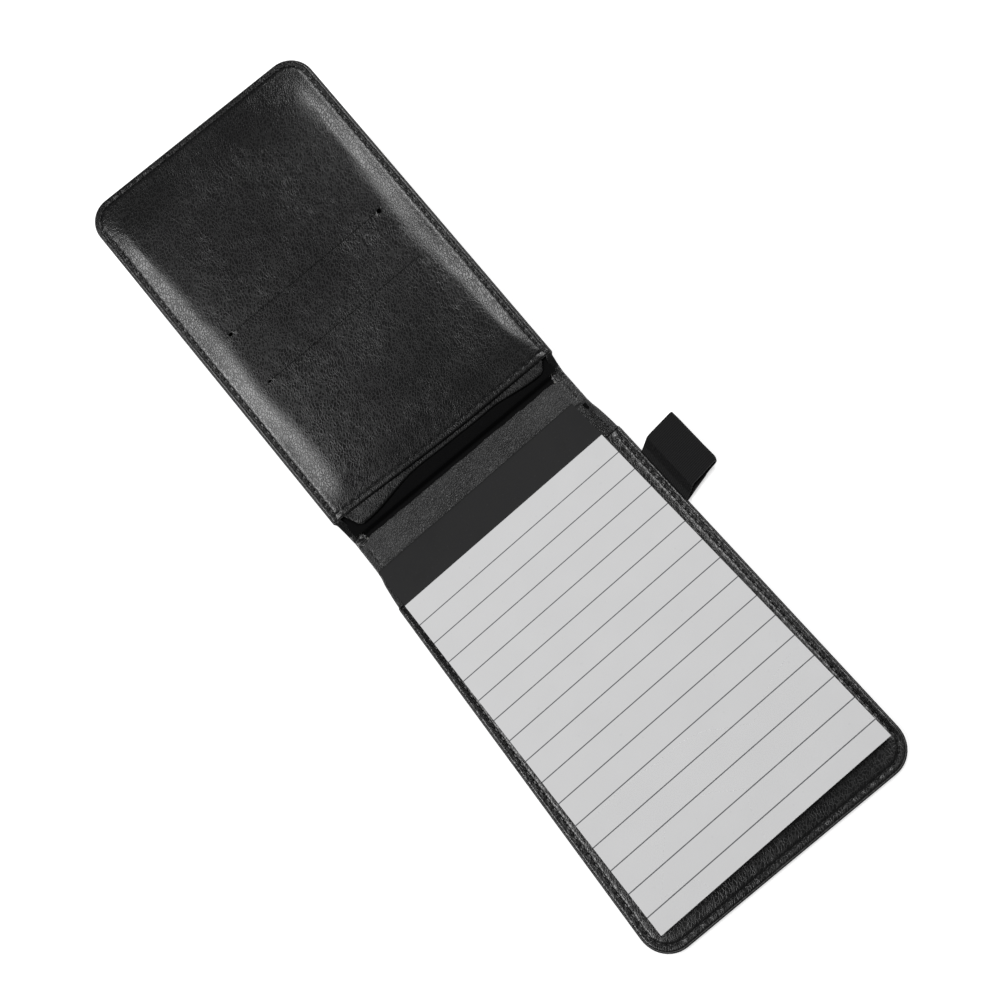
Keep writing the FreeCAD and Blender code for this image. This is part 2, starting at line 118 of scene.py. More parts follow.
class LeatherSettings(bpy.types.PropertyGroup):
    """Sizes and colours of the leather, its seams and its thread"""

    corner_radius: FloatProperty(
        name="Corner radius", description="Radius of the cover's round corners",
        default=8.5 * MM, unit="LENGTH",
    )
    edge_reveal: FloatProperty(
        name="Edge reveal", description="Outer leather seen round a pocket panel",
        default=0.35 * MM, unit="LENGTH",
    )
    front_rim: FloatProperty(
        name="Front rim", description="Height of the layers under the front panel",
        default=2.25 * MM, unit="LENGTH",
    )
    hem: FloatProperty(
        name="Hem place", description="Distance from the front crease to the hem",
        default=6.2 * MM, unit="LENGTH",
    )
    lip: FloatProperty(
        name="Lip place", description="Distance from the front crease to the second layer",
        default=4.9 * MM, unit="LENGTH",
    )
    crown: FloatProperty(
        name="Crown", description="How far the front panel stands up inside its seam",
        default=0.85 * MM, unit="LENGTH",
    )
    crown_reach: FloatProperty(
        name="Crown reach", description="Distance over which the crown rises",
        default=7.2 * MM, unit="LENGTH",
    )
    seam_inset: FloatProperty(
        name="Seam inset", description="Distance from the edge to the seam",
        default=2.2 * MM, unit="LENGTH",
    )
    seam_depth: FloatProperty(
        name="Seam depth", description="How deep the thread pulls the leather in",
        default=0.32 * MM, unit="LENGTH",
    )
    stitch_pitch: FloatProperty(
        name="Stitch pitch", description="Distance from one needle hole to the next",
        default=3.0 * MM, unit="LENGTH",
    )
    stitch_length: FloatProperty(
        name="Stitch length", description="Thread seen between two needle holes",
        default=2.3 * MM, unit="LENGTH",
    )
    thread: FloatProperty(
        name="Thread", description="Width of the sewing thread",
        default=0.45 * MM, unit="LENGTH",
    )
    cover_colour: FloatVectorProperty(
        name="Cover leather", description="Colour of the smooth leather",
        default=(0.0048, 0.0048, 0.0050), subtype="COLOR", min=0, max=1,
    )
    strip_colour: FloatVectorProperty(
        name="Grained leather", description="Colour of the strip over the spine",
        default=(0.0185, 0.0185, 0.019), subtype="COLOR", min=0, max=1,
    )
    thread_colour: FloatVectorProperty(
        name="Sewing thread", description="Colour of the sewing thread",
        default=(0.006, 0.006, 0.0063), subtype="COLOR", min=0, max=1,
    )
    lining_colour: FloatVectorProperty(
        name="Lining", description="Colour of the satin lining",
        default=(0.0025, 0.0025, 0.0027), subtype="COLOR", min=0, max=1,
    )
    board_colour: FloatVectorProperty(
        name="Board", description="Colour of the grey board inside the covers",
        default=(0.20, 0.195, 0.185), subtype="COLOR", min=0, max=1,
    )


class PadSettings(bpy.types.PropertyGroup):
    """Sizes and colours of the memo pad"""

    sheet_count: IntProperty(
        name="Sheets", description="Sheets under the top one", default=44, min=5, max=80,
    )
    sheet_thickness: FloatProperty(
        name="Sheet thickness", description="Thickness of one sheet with the air under it",
        default=0.1 * MM, unit="LENGTH",
    )
    page_width: FloatProperty(
        name="Page width", description="Width of a page", default=75.8 * MM, unit="LENGTH",
    )
    page_length: FloatProperty(
        name="Page length", description="From the pad's origin to the foot of a page",
        default=111.75 * MM, unit="LENGTH",
    )
    head_length: FloatProperty(
        name="Head length", description="From the pad's origin to the end of its head",
        default=14.2 * MM, unit="LENGTH",
    )
    rule_spacing: FloatProperty(
        name="Rule spacing", description="Distance between two ruled lines",
        default=7.1 * MM, unit="LENGTH",
    )
    rule_width: FloatProperty(
        name="Rule width", description="Width of a ruled line",
        default=0.3 * MM, unit="LENGTH",
    )
    paper_colour: FloatVectorProperty(
        name="Paper", description="Colour of the paper",
        default=(0.74, 0.74, 0.745), subtype="COLOR", min=0, max=1,
    )
    rule_colour: FloatVectorProperty(
        name="Rules", description="Colour of the ruled lines",
        default=(0.13, 0.132, 0.14), subtype="COLOR", min=0, max=1,
    )
    tape_colour: FloatVectorProperty(
        name="Binding tape", description="Colour of the tape over the head",
        default=(0.021, 0.021, 0.0215), subtype="COLOR", min=0, max=1,
    )
    glue_colour: FloatVectorProperty(
        name="Padding glue", description="Colour of the glue down the pad's head",
        default=(0.42, 0.41, 0.38), subtype="COLOR", min=0, max=1,
    )
    card_colour: FloatVectorProperty(
        name="Backing card", description="Colour of the card that the pad is bound to",
        default=(0.30, 0.265, 0.215), subtype="COLOR", min=0, max=1,
    )


class LoopSettings(bpy.types.PropertyGroup):
    """Sizes and colour of the elastic pen loop"""

    band: FloatProperty(
        name="Band", description="Thickness of the two layers of elastic together",
        default=0.9 * MM, unit="LENGTH",
    )
    skew: FloatProperty(
        name="Skew", description="How far the upper run is sewn from the lower one",
        default=1.6 * MM, unit="LENGTH",
    )
    slack: FloatProperty(
        name="Slack", description="How far the empty loop has sunk in on each side",
        default=1.5 * MM, unit="LENGTH",
    )
    elastic_colour: FloatVectorProperty(
        name="Elastic", description="Colour of the elastic band",
        default=(0.0080, 0.0080, 0.0084), subtype="COLOR", min=0, max=1,
    )


class StageSettings(bpy.types.PropertyGroup):
    """The camera, the lights and the floor"""

    camera_place: FloatVectorProperty(
        name="Camera place", description="Where the camera stands",
        default=(3.33 * MM, -66.85 * MM, 292.95 * MM), subtype="TRANSLATION",
    )
    camera_turn: FloatVectorProperty(
        name="Camera turn", description="How the camera is turned",
        default=tuple(math.radians(turn) for turn in (18.178, 14.988, -37.347)),
        subtype="EULER",
    )
    lens: FloatProperty(
        name="Lens", description="Focal length in millimetres", default=38.17, min=10,
    )
    left_power: FloatProperty(
        name="Left light", description="Power of the left softbox", default=4.6, unit="POWER",
    )
    right_power: FloatProperty(
        name="Right light", description="Power of the right softbox", default=3.85, unit="POWER",
    )
    floor_glow: FloatProperty(
        name="Floor glow", description="Light from the floor's own diffuser", default=0.6, min=0,
    )
    sky: FloatProperty(
        name="Sky", description="Strength of the light from all round", default=0.08, min=0,
    )


SETTINGS = {
    "notebook_leather": LeatherSettings,
    "notebook_pad": PadSettings,
    "notebook_loop": LoopSettings,
    "notebook_stage": StageSettings,
}


# ---------------------------------------------------------------- shader nodes


def set_input(tree, socket, value):
    """Gives a socket a value, or links another node's output to it."""
    if isinstance(value, bpy.types.NodeSocket):
        tree.links.new(value, socket)
    else:
        socket.default_value = value


def add_node(tree, kind, settings=None, **sockets):
    """A new node. A socket is given by name, or as _2 by its number."""
    node = tree.nodes.new(kind)
    for name, value in (settings or {}).items():
        setattr(node, name, value)
    for name, value in sockets.items():
        key = int(name[1:]) if name[0] == "_" else name.replace("_", " ")
        set_input(tree, node.inputs[key], value)
    return node


def math_node(tree, operation, first, second=0.0):
    """The output of a Math node."""
    return add_node(tree, "ShaderNodeMath", {"operation": operation}, _0=first, _1=second).outputs[0]


def vector_math(tree, operation, first, second):
    """The output of a Vector Math node."""
    settings = {"operation": operation}
    return add_node(tree, "ShaderNodeVectorMath", settings, _0=first, _1=second).outputs[0]


def ramp(tree, value, low, high):
    """A value mapped from low..high to 0..1, with smooth ends."""
    settings = {"interpolation_type": "SMOOTHSTEP"}
    node = add_node(tree, "ShaderNodeMapRange", settings, Value=value, From_Min=low, From_Max=high)
    return node.outputs["Result"]


def mix_colour(tree, factor, first, second):
    """A colour that goes from the first to the second as the factor goes from 0 to 1."""
    settings = {"data_type": "RGBA"}
    return add_node(tree, "ShaderNodeMix", settings, _0=factor, _6=first, _7=second).outputs[2]


def overlay(tree, base, mask, strength, colour):
    """A base colour with another laid over it where a mask is 1."""
    return mix_colour(tree, math_node(tree, "MULTIPLY", mask, strength), base, colour)


def noise_node(tree, vector, scale, detail=2.0, roughness=0.5, distortion=0.0):
    """The value of a Noise texture."""
    node = add_node(
        tree, "ShaderNodeTexNoise", Vector=vector, Scale=scale, Detail=detail,
        Roughness=roughness, Distortion=distortion,
    )
    return node.outputs[0]


def new_group(name, inputs, outputs):
    """A shader node group with its input and output nodes."""
    tree = bpy.data.node_groups.new(name, "ShaderNodeTree")
    for socket, kind, value in inputs:
        made = tree.interface.new_socket(name=socket, in_out="INPUT", socket_type=kind)
        if value is not None:
            made.default_value = value
    for socket, kind in outputs:
        tree.interface.new_socket(name=socket, in_out="OUTPUT", socket_type=kind)
    entry = tree.nodes.new("NodeGroupInput")
    end = tree.nodes.new("NodeGroupOutput")
    return tree, entry.outputs, end


def leather_grain_group():
    """Fine pressed pebbles parted by creases, with soft wrinkles that run across them."""
    tree, given, end = new_group(
        "leather_grain",
        [
            ("Vector", "NodeSocketVector", None),
            ("Pebble Size", "NodeSocketFloat", 1.0 * MM),
            ("Stretch", "NodeSocketFloat", 1.0),
            ("Unevenness", "NodeSocketFloat", 0.5),
        ],
        [("Height", "NodeSocketFloat"), ("Creases", "NodeSocketFloat"), ("Patches", "NodeSocketFloat")],
    )
    warp_reach = 2.2 * MM
    pull_angle = -0.85
    crease_share = 0.17
    fine_share, wrinkle_share = 0.6, 1.1
    scale = math_node(tree, "DIVIDE", 1.0, given["Pebble Size"])
    warp_noise = add_node(
        tree, "ShaderNodeTexNoise", Vector=given["Vector"], Scale=260.0, Detail=2.0,
    )
    centred = vector_math(tree, "SUBTRACT", warp_noise.outputs["Color"], (0.5, 0.5, 0.5))
    warp = vector_math(tree, "MULTIPLY", centred, (warp_reach, warp_reach, warp_reach))
    warped = vector_math(tree, "ADD", given["Vector"], warp)
    stretch = add_node(tree, "ShaderNodeCombineXYZ", X=given["Stretch"], Y=1.0, Z=1.0).outputs[0]
    turned = add_node(
        tree, "ShaderNodeVectorRotate", {"rotation_type": "Z_AXIS"}, Vector=warped, Angle=pull_angle,
    ).outputs[0]
    stretched = vector_math(tree, "MULTIPLY", turned, stretch)
    cells = add_node(
        tree, "ShaderNodeTexVoronoi", {"feature": "DISTANCE_TO_EDGE"}, Vector=stretched, Scale=scale,
    ).outputs["Distance"]
    pebbles = ramp(tree, cells, 0.0, crease_share)
    fine = noise_node(tree, stretched, math_node(tree, "MULTIPLY", scale, 2.3), 3.0, 0.6)
    wrinkles = noise_node(tree, stretched, math_node(tree, "MULTIPLY", scale, 0.55), 3.0, 0.6, 0.8)
    patches = noise_node(tree, given["Vector"], 45.0, 3.0, 0.55)
    uneven = math_node(tree, "MULTIPLY", given["Unevenness"], ramp(tree, patches, 0.35, 0.65))
    depth = math_node(tree, "SUBTRACT", 1.0, uneven)
    pebble_height = math_node(tree, "MULTIPLY", pebbles, depth)
    with_fine = math_node(tree, "ADD", pebble_height, math_node(tree, "MULTIPLY", fine, fine_share))
    folded = math_node(tree, "MULTIPLY", wrinkles, wrinkle_share)
    tree.links.new(math_node(tree, "ADD", with_fine, folded), end.inputs["Height"])
    tree.links.new(math_node(tree, "SUBTRACT", 1.0, pebbles), end.inputs["Creases"])
    tree.links.new(patches, end.inputs["Patches"])
    return tree


def woven_group():
    """A plain weave: two sets of round threads that pass over and under each other."""
    tree, given, end = new_group(
        "woven_threads",
        [
            ("Vector", "NodeSocketVector", None),
            ("Warp Spacing", "NodeSocketFloat", 0.5 * MM),
            ("Weft Spacing", "NodeSocketFloat", 0.5 * MM),
            ("Weft Share", "NodeSocketFloat", 0.5),
        ],
        [("Height", "NodeSocketFloat"), ("Warp", "NodeSocketFloat")],
    )
    parts = add_node(tree, "ShaderNodeSeparateXYZ", Vector=given["Vector"]).outputs
    across = math_node(tree, "DIVIDE", parts["X"], given["Warp Spacing"])
    along = math_node(tree, "DIVIDE", parts["Y"], given["Weft Spacing"])
    wave = math_node(tree, "SINE", math_node(tree, "MULTIPLY", across, math.pi))
    rib = math_node(tree, "ABSOLUTE", wave)
    over = math_node(tree, "SINE", math_node(tree, "MULTIPLY", along, math.pi))
    column = math_node(tree, "FLOOR", across)
    odd = math_node(tree, "MODULO", column, 2.0)
    parity = math_node(tree, "SUBTRACT", math_node(tree, "MULTIPLY", odd, 2.0), 1.0)
    step = math_node(tree, "MULTIPLY", over, parity)
    weft = math_node(tree, "MULTIPLY", math_node(tree, "MULTIPLY", step, 0.5), given["Weft Share"])
    tree.links.new(math_node(tree, "ADD", rib, weft), end.inputs["Height"])
    tree.links.new(rib, end.inputs["Warp"])
    return tree


def fibre_group():
    """Mottling and short fibres, as in paper and board."""
    tree, given, end = new_group(
        "fibre_mottle",
        [("Vector", "NodeSocketVector", None), ("Fibre Size", "NodeSocketFloat", 0.4 * MM)],
        [("Height", "NodeSocketFloat"), ("Mottle", "NodeSocketFloat"), ("Specks", "NodeSocketFloat")],
    )
    scale = math_node(tree, "DIVIDE", 1.0, given["Fibre Size"])
    fine = noise_node(tree, given["Vector"], scale, 4.0, 0.65)
    long_fibres = vector_math(tree, "MULTIPLY", given["Vector"], (1.0, 0.25, 1.0))
    fibres = noise_node(tree, long_fibres, scale, 2.0, 0.5, 1.5)
    clouds = noise_node(tree, given["Vector"], 70.0, 3.0, 0.6)
    specks = noise_node(tree, given["Vector"], 700.0, 1.0, 0.5)
    tree.links.new(math_node(tree, "ADD", fine, fibres), end.inputs["Height"])
    tree.links.new(clouds, end.inputs["Mottle"])
    tree.links.new(ramp(tree, specks, 0.70, 0.78), end.inputs["Specks"])
    return tree


def dust_and_edge_group():
    """Dust that settles in specks, and lighter places along an edge: wear where it is handled, and also
    a painted highlight.
    """
    tree, given, end = new_group(
        "dust_rub_and_edge_highlight",
        [
            ("Vector", "NodeSocketVector", None),
            ("Edge", "NodeSocketFloat", 0.0),
            ("Dust", "NodeSocketFloat", 0.2),
            ("Rub", "NodeSocketFloat", 0.5),
        ],
        [("Mask", "NodeSocketFloat"), ("Smears", "NodeSocketFloat")],
    )
    specks = ramp(tree, noise_node(tree, given["Vector"], 1500.0, 0.0), 0.74, 0.80)
    smears = ramp(tree, noise_node(tree, given["Vector"], 38.0, 4.0, 0.6, 0.6), 0.38, 0.72)
    edge_breakup = noise_node(tree, given["Vector"], 420.0, 3.0, 0.7)
    # Lighter along the edge, broken up by noise: partly wear, partly a painted highlight where the edge
    # catches the light.
    edge = math_node(tree, "MULTIPLY", given["Edge"], ramp(tree, edge_breakup, 0.42, 0.68))
    dust = math_node(tree, "MULTIPLY", specks, given["Dust"])
    worn_and_highlit = math_node(tree, "MULTIPLY", edge, given["Rub"])
    mask = add_node(
        tree, "ShaderNodeMath", {"operation": "ADD", "use_clamp": True}, _0=dust, _1=worn_and_highlit,
    ).outputs[0]
    tree.links.new(mask, end.inputs["Mask"])
    tree.links.new(smears, end.inputs["Smears"])
    return tree


def rules_group():
    """Ruled lines across a page, one every spacing, slightly uneven in their ink."""
    tree, given, end = new_group(
        "ruled_lines",
        [
            ("Vector", "NodeSocketVector", None),
            ("Spacing", "NodeSocketFloat", 7.1 * MM),
            ("Width", "NodeSocketFloat", 0.3 * MM),
        ],
        [("Mask", "NodeSocketFloat")],
    )
    place = add_node(tree, "ShaderNodeSeparateXYZ", Vector=given["Vector"]).outputs["Y"]
    counted = math_node(tree, "DIVIDE", place, given["Spacing"])
    nearest = math_node(tree, "ROUND", counted)
    apart = math_node(tree, "ABSOLUTE", math_node(tree, "SUBTRACT", counted, nearest))
    gap = math_node(tree, "MULTIPLY", apart, given["Spacing"])
    half = math_node(tree, "MULTIPLY", given["Width"], 0.5)
    solid_ink = math_node(tree, "MULTIPLY", half, 0.7)
    last_ink = math_node(tree, "MULTIPLY", half, 1.3)
    line = math_node(tree, "SUBTRACT", 1.0, ramp(tree, gap, solid_ink, last_ink))
    top_margin = math_node(tree, "MULTIPLY", given["Spacing"], -0.5)
    below_first = math_node(tree, "LESS_THAN", place, top_margin)
    ink = ramp(tree, noise_node(tree, given["Vector"], 900.0, 2.0, 0.6), 0.1, 0.5)
    strength = math_node(tree, "ADD", math_node(tree, "MULTIPLY", ink, 0.25), 0.75)
    inked = math_node(tree, "MULTIPLY", line, strength)
    tree.links.new(math_node(tree, "MULTIPLY", inked, below_first), end.inputs["Mask"])
    return tree


GROUPS = {
    "leather_grain": leather_grain_group,
    "woven_threads": woven_group,
    "fibre_mottle": fibre_group,
    "dust_rub_and_edge_highlight": dust_and_edge_group,
    "ruled_lines": rules_group,
}


def place_group(tree, name, **sockets):
    """A shared group placed in a material with the material's own values."""
    shared = bpy.data.node_groups.get(name) or GROUPS[name]()
    return add_node(tree, "ShaderNodeGroup", {"node_tree": shared}, **sockets).outputs


def new_material(name, source):
    """A material with its shader, and the place of a point on the unfolded piece."""
    material = bpy.data.materials.new(f"{name}_{source}")
    material.use_nodes = True
    tree = material.node_tree
    shader = tree.nodes["Principled BSDF"]
    if source == "object":
        place = add_node(tree, "ShaderNodeTexCoord").outputs["Object"]
    elif source == "rest":
        place = add_node(tree, "ShaderNodeAttribute", {"attribute_name": "rest"}).outputs["Vector"]
    else:
        place = add_node(tree, "ShaderNodeUVMap", {"uv_map": source}).outputs["UV"]
    return material, tree, shader, place


def bump(tree, shader, height, distance, strength=1.0):
    """The surface's fine relief."""
    node = add_node(tree, "ShaderNodeBump", Height=height, Distance=distance, Strength=strength)
    tree.links.new(node.outputs[0], shader.inputs["Normal"])


def range_to(tree, value, low, high):
    """A value from 0..1 mapped to low..high."""
    return add_node(tree, "ShaderNodeMapRange", Value=value, To_Min=low, To_Max=high).outputs["Result"]


def set_roughness(tree, shader, value, low, high):
    """Roughness from low to high as a value goes from 0 to 1."""
    tree.links.new(range_to(tree, value, low, high), shader.inputs["Roughness"])


def tone(colour, share=1.0):
    """A colour made lighter or darker by a share of itself, with its alpha."""
    return (*(min(1.0, channel * share) for channel in colour), 1.0)


def leather_material(name, source, colour, pebble, depth, roughness, stretch, contrast):
    """Coated leather: pressed grain with painted shade darkening its creases, edges lightened as wear
    and as a painted highlight, faint smears.
    """
    material, tree, shader, place = new_material(name, source)
    grain = place_group(tree, "leather_grain", Vector=place, Pebble_Size=pebble, Stretch=stretch)
    edge = add_node(tree, "ShaderNodeAttribute", {"attribute_name": "edge"}).outputs["Fac"]
    dust_and_edge = place_group(tree, "dust_rub_and_edge_highlight", Vector=place, Edge=edge, Dust=0.25, Rub=0.5)
    # Painted shade: the creases darker and the raised grain a little lighter, by the contrast given.
    crease_shaded = overlay(tree, tone(colour, 1.12), grain["Creases"], contrast, tone(colour, 0.4))
    toned = overlay(tree, crease_shaded, grain["Patches"], 0.35, tone(colour, 1.5))
    # Dust specks, and along the edges a lightening that is partly wear and partly a painted highlight.
    worn_and_highlit = overlay(tree, toned, dust_and_edge["Mask"], 0.5, tone(colour, 7.0))
    tree.links.new(worn_and_highlit, shader.inputs["Base Color"])
    matt = range_to(tree, grain["Creases"], roughness, roughness + 0.16)
    smeared = math_node(tree, "ADD", matt, math_node(tree, "MULTIPLY", dust_and_edge["Smears"], 0.05))
    tree.links.new(smeared, shader.inputs["Roughness"])
    shader.inputs["Specular IOR Level"].default_value = 0.5
    bump(tree, shader, grain["Height"], depth)
    return material


def cover_leather():
    """The smooth black leather of the covers and pockets."""
    colour = bpy.context.scene.notebook_leather.cover_colour
    return leather_material(
        "cover_leather", "rest", colour, pebble=0.66 * MM, depth=0.019 * MM, roughness=0.2,
        stretch=0.5, contrast=0.3,
    )


def grained_leather():
    """The duller, coarser leather of the strip over the spine."""
    colour = bpy.context.scene.notebook_leather.strip_colour
    return leather_material(
        "grained_leather", "rest", colour, pebble=0.62 * MM, depth=0.11 * MM, roughness=0.34,
        stretch=0.6, contrast=0.8,
    )


def woven_material(name, source, colour, warp, weft, share, depth, roughness, shine):
    """A woven cloth: raised threads a little lighter, with painted shade darkening the gaps between
    them.
    """
    material, tree, shader, place = new_material(name, source)
    weave = place_group(
        tree, "woven_threads", Vector=place, Warp_Spacing=warp, Weft_Spacing=weft, Weft_Share=share,
    )
    dust_and_edge = place_group(tree, "dust_rub_and_edge_highlight", Vector=place, Dust=0.35)
    # Painted shade: the gaps between the raised threads are darker, the raised threads a little
    # lighter.
    threads = mix_colour(tree, weave["Warp"], tone(colour, 0.6), tone(colour, 1.15))
    dusty = overlay(tree, threads, dust_and_edge["Mask"], 0.3, tone(colour, 6.0))
    tree.links.new(dusty, shader.inputs["Base Color"])
    set_roughness(tree, shader, weave["Warp"], roughness + 0.1, roughness)
    shader.inputs["Specular IOR Level"].default_value = shine
    bump(tree, shader, weave["Height"], depth)
    return material


def satin_lining(source):
    """The fine smooth cloth in the creases and pockets."""
    colour = bpy.context.scene.notebook_leather.lining_colour
    return woven_material(
        "satin_lining", source, colour, warp=0.16 * MM, weft=0.3 * MM, share=0.4,
        depth=0.012 * MM, roughness=0.6, shine=0.05,
    )


def elastic_material():
    """The ribbed elastic of the pen loop."""
    colour = bpy.context.scene.notebook_loop.elastic_colour
    return woven_material(
        "elastic_band", "band", colour, warp=0.62 * MM, weft=0.5 * MM, share=0.8,
        depth=0.07 * MM, roughness=0.72, shine=0.22,
    )


def thread_material():
    """Twisted sewing thread."""
    material, tree, shader, place = new_material("sewing_thread", "rest")
    colour = bpy.context.scene.notebook_leather.thread_colour
    fibres = place_group(tree, "fibre_mottle", Vector=place, Fibre_Size=0.09 * MM)
    toned = mix_colour(tree, fibres["Mottle"], tone(colour, 0.7), tone(colour, 1.5))
    tree.links.new(toned, shader.inputs["Base Color"])
    set_roughness(tree, shader, fibres["Mottle"], 0.45, 0.62)
    bump(tree, shader, fibres["Height"], 0.03 * MM)
    return material


def fibre_material(name, source, colour, fibre, depth, roughness, contrast):
    """Paper, card or board: fibres pressed flat, with faint clouds and specks."""
    material, tree, shader, place = new_material(name, source)
    fibres = place_group(tree, "fibre_mottle", Vector=place, Fibre_Size=fibre)
    clouds = mix_colour(tree, fibres["Mottle"], tone(colour, 1 - contrast), tone(colour, 1 + contrast))
    specked = overlay(tree, clouds, fibres["Specks"], 0.25, tone(colour, 0.5))
    tree.links.new(specked, shader.inputs["Base Color"])
    set_roughness(tree, shader, fibres["Mottle"], roughness - 0.05, roughness + 0.05)
    bump(tree, shader, fibres["Height"], depth)
    return material


def ruled_paper():
    """Writing paper with its printed rules."""
    pad = bpy.context.scene.notebook_pad
    material, tree, shader, place = new_material("ruled_paper", "sheet")
    colour = pad.paper_colour
    fibres = place_group(tree, "fibre_mottle", Vector=place, Fibre_Size=0.22 * MM)
    rules = place_group(
        tree, "ruled_lines", Vector=place, Spacing=pad.rule_spacing, Width=pad.rule_width,
    )
    clouds = mix_colour(tree, fibres["Mottle"], tone(colour, 0.965), tone(colour, 1.035))
    specked = overlay(tree, clouds, fibres["Specks"], 0.10, tone(colour, 0.6))
    inked = mix_colour(tree, rules["Mask"], specked, tone(pad.rule_colour))
    tree.links.new(inked, shader.inputs["Base Color"])
    set_roughness(tree, shader, fibres["Mottle"], 0.78, 0.9)
    shader.inputs["Specular IOR Level"].default_value = 0.3
    bump(tree, shader, fibres["Height"], 0.012 * MM)
    return material


def tape_material():
    """The pad's smooth coated binding tape, with a faint scuff."""
    colour = bpy.context.scene.notebook_pad.tape_colour
    material, tree, shader, place = new_material("binding_tape", "rest")
    fibres = place_group(tree, "fibre_mottle", Vector=place, Fibre_Size=0.5 * MM)
    dust_and_edge = place_group(tree, "dust_rub_and_edge_highlight", Vector=place, Dust=0.3)
    toned = mix_colour(tree, fibres["Mottle"], tone(colour, 0.93), tone(colour, 1.08))
    dusty = overlay(tree, toned, dust_and_edge["Mask"], 0.25, tone(colour, 5.0))
    tree.links.new(dusty, shader.inputs["Base Color"])
    set_roughness(tree, shader, dust_and_edge["Smears"], 0.55, 0.68)
    shader.inputs["Specular IOR Level"].default_value = 0.15
    bump(tree, shader, fibres["Height"], 0.008 * MM)
    return material


# ---------------------------------------------------------------- shapes of the leather

STRIP_THICKNESS = 0.35 * MM
STRIP_WIDTH = 84.2 * MM
STRIP_FREE_EDGE = -10.3 * MM


def smooth(low, high, value):
    """0 below low, 1 above high, and a smooth step between them."""
    share = min(1.0, max(0.0, (value - low) / (high - low)))
    return share * share * (3 - 2 * share)


def bell(value, width):
    """1 at zero, falling off over the width on both sides."""
    return math.exp(-((value / width) ** 2))


def round_over(distance, radius):
    """How far a rounded edge has dropped at a distance inside it."""
    if distance >= radius:
        return 0.0
    gone = radius - max(0.0, distance)
    return radius - math.sqrt(radius * radius - gone * gone)


def unevenness(x, y, size, seed):
    """A soft random height between about -1 and 1."""
    return noise.noise(Vector((x / size, y / size, seed)))


def folds(x, y, width, length, seed):
    """Random folds that meet in sharp valleys, from 0 to about 1."""
    return abs(noise.noise(Vector((x / width, y / length, seed))))


class Seam:
    """The stitched line round the free edges of a cover leaf, measured from the crease."""

    line_width = 0.5 * MM
    pucker_width = 1.0 * MM

    def __init__(self, leather, start):
        self.half = COVER_WIDTH / 2
        self.length = COVER_LENGTH
        self.radius = leather.corner_radius
        self.inset = leather.seam_inset
        self.start = start
        self.side = self.length - self.radius - start
        self.bend = (self.radius - self.inset) * math.pi / 2
        self.total = 2 * (self.side + self.bend) + 2 * (self.half - self.radius)
        self.count = round(self.total / leather.stitch_pitch)
        self.pitch = self.total / self.count

    def locate(self, x, y):
        """A point's distance from the edge, and how far along the seam it is."""
        past = y - (self.length - self.radius)
        out = abs(x) - (self.half - self.radius)
        if past > 0 and out > 0:
            distance = self.radius - math.hypot(past, out)
            run = self.side + math.atan2(past, out) * (self.radius - self.inset)
        elif self.length - y < self.half - abs(x):
            distance = self.length - y
            run = self.side + self.bend - out
        else:
            distance = self.half - abs(x)
            run = y - self.start
        if x > 0:
            run = self.total - run
        return distance, run

    def point(self, run):
        """A point on the seam and its direction there."""
        right = run > self.total / 2
        if right:
            run = self.total - run
        if run < self.side:
            place, heading = Vector((-self.half + self.inset, self.start + run)), Vector((0, 1))
        elif run < self.side + self.bend:
            arm = self.radius - self.inset
            turn = (run - self.side) / arm
            centre = Vector((self.radius - self.half, self.length - self.radius))
            place = centre + arm * Vector((-math.cos(turn), math.sin(turn)))
            heading = Vector((math.sin(turn), math.cos(turn)))
        else:
            over = run - self.side - self.bend
            place = Vector((self.radius - self.half + over, self.length - self.inset))
            heading = Vector((1, 0))
        if right:
            place.x, heading.y = -place.x, -heading.y
        return place, heading

    def pull(self, x, y):
        """How strongly the thread pulls the leather in at a point, from 0 to 1."""
        distance, run = self.locate(x, y)
        hole = 0.5 + 0.5 * math.cos(2 * math.pi * run / self.pitch)
        line = bell(distance - self.inset, self.line_width)
        pucker = bell(distance - self.inset, self.pucker_width)
        started = smooth(-2 * MM, 1 * MM, y - self.start)
        return started * (0.62 * line + 0.38 * pucker * hole)


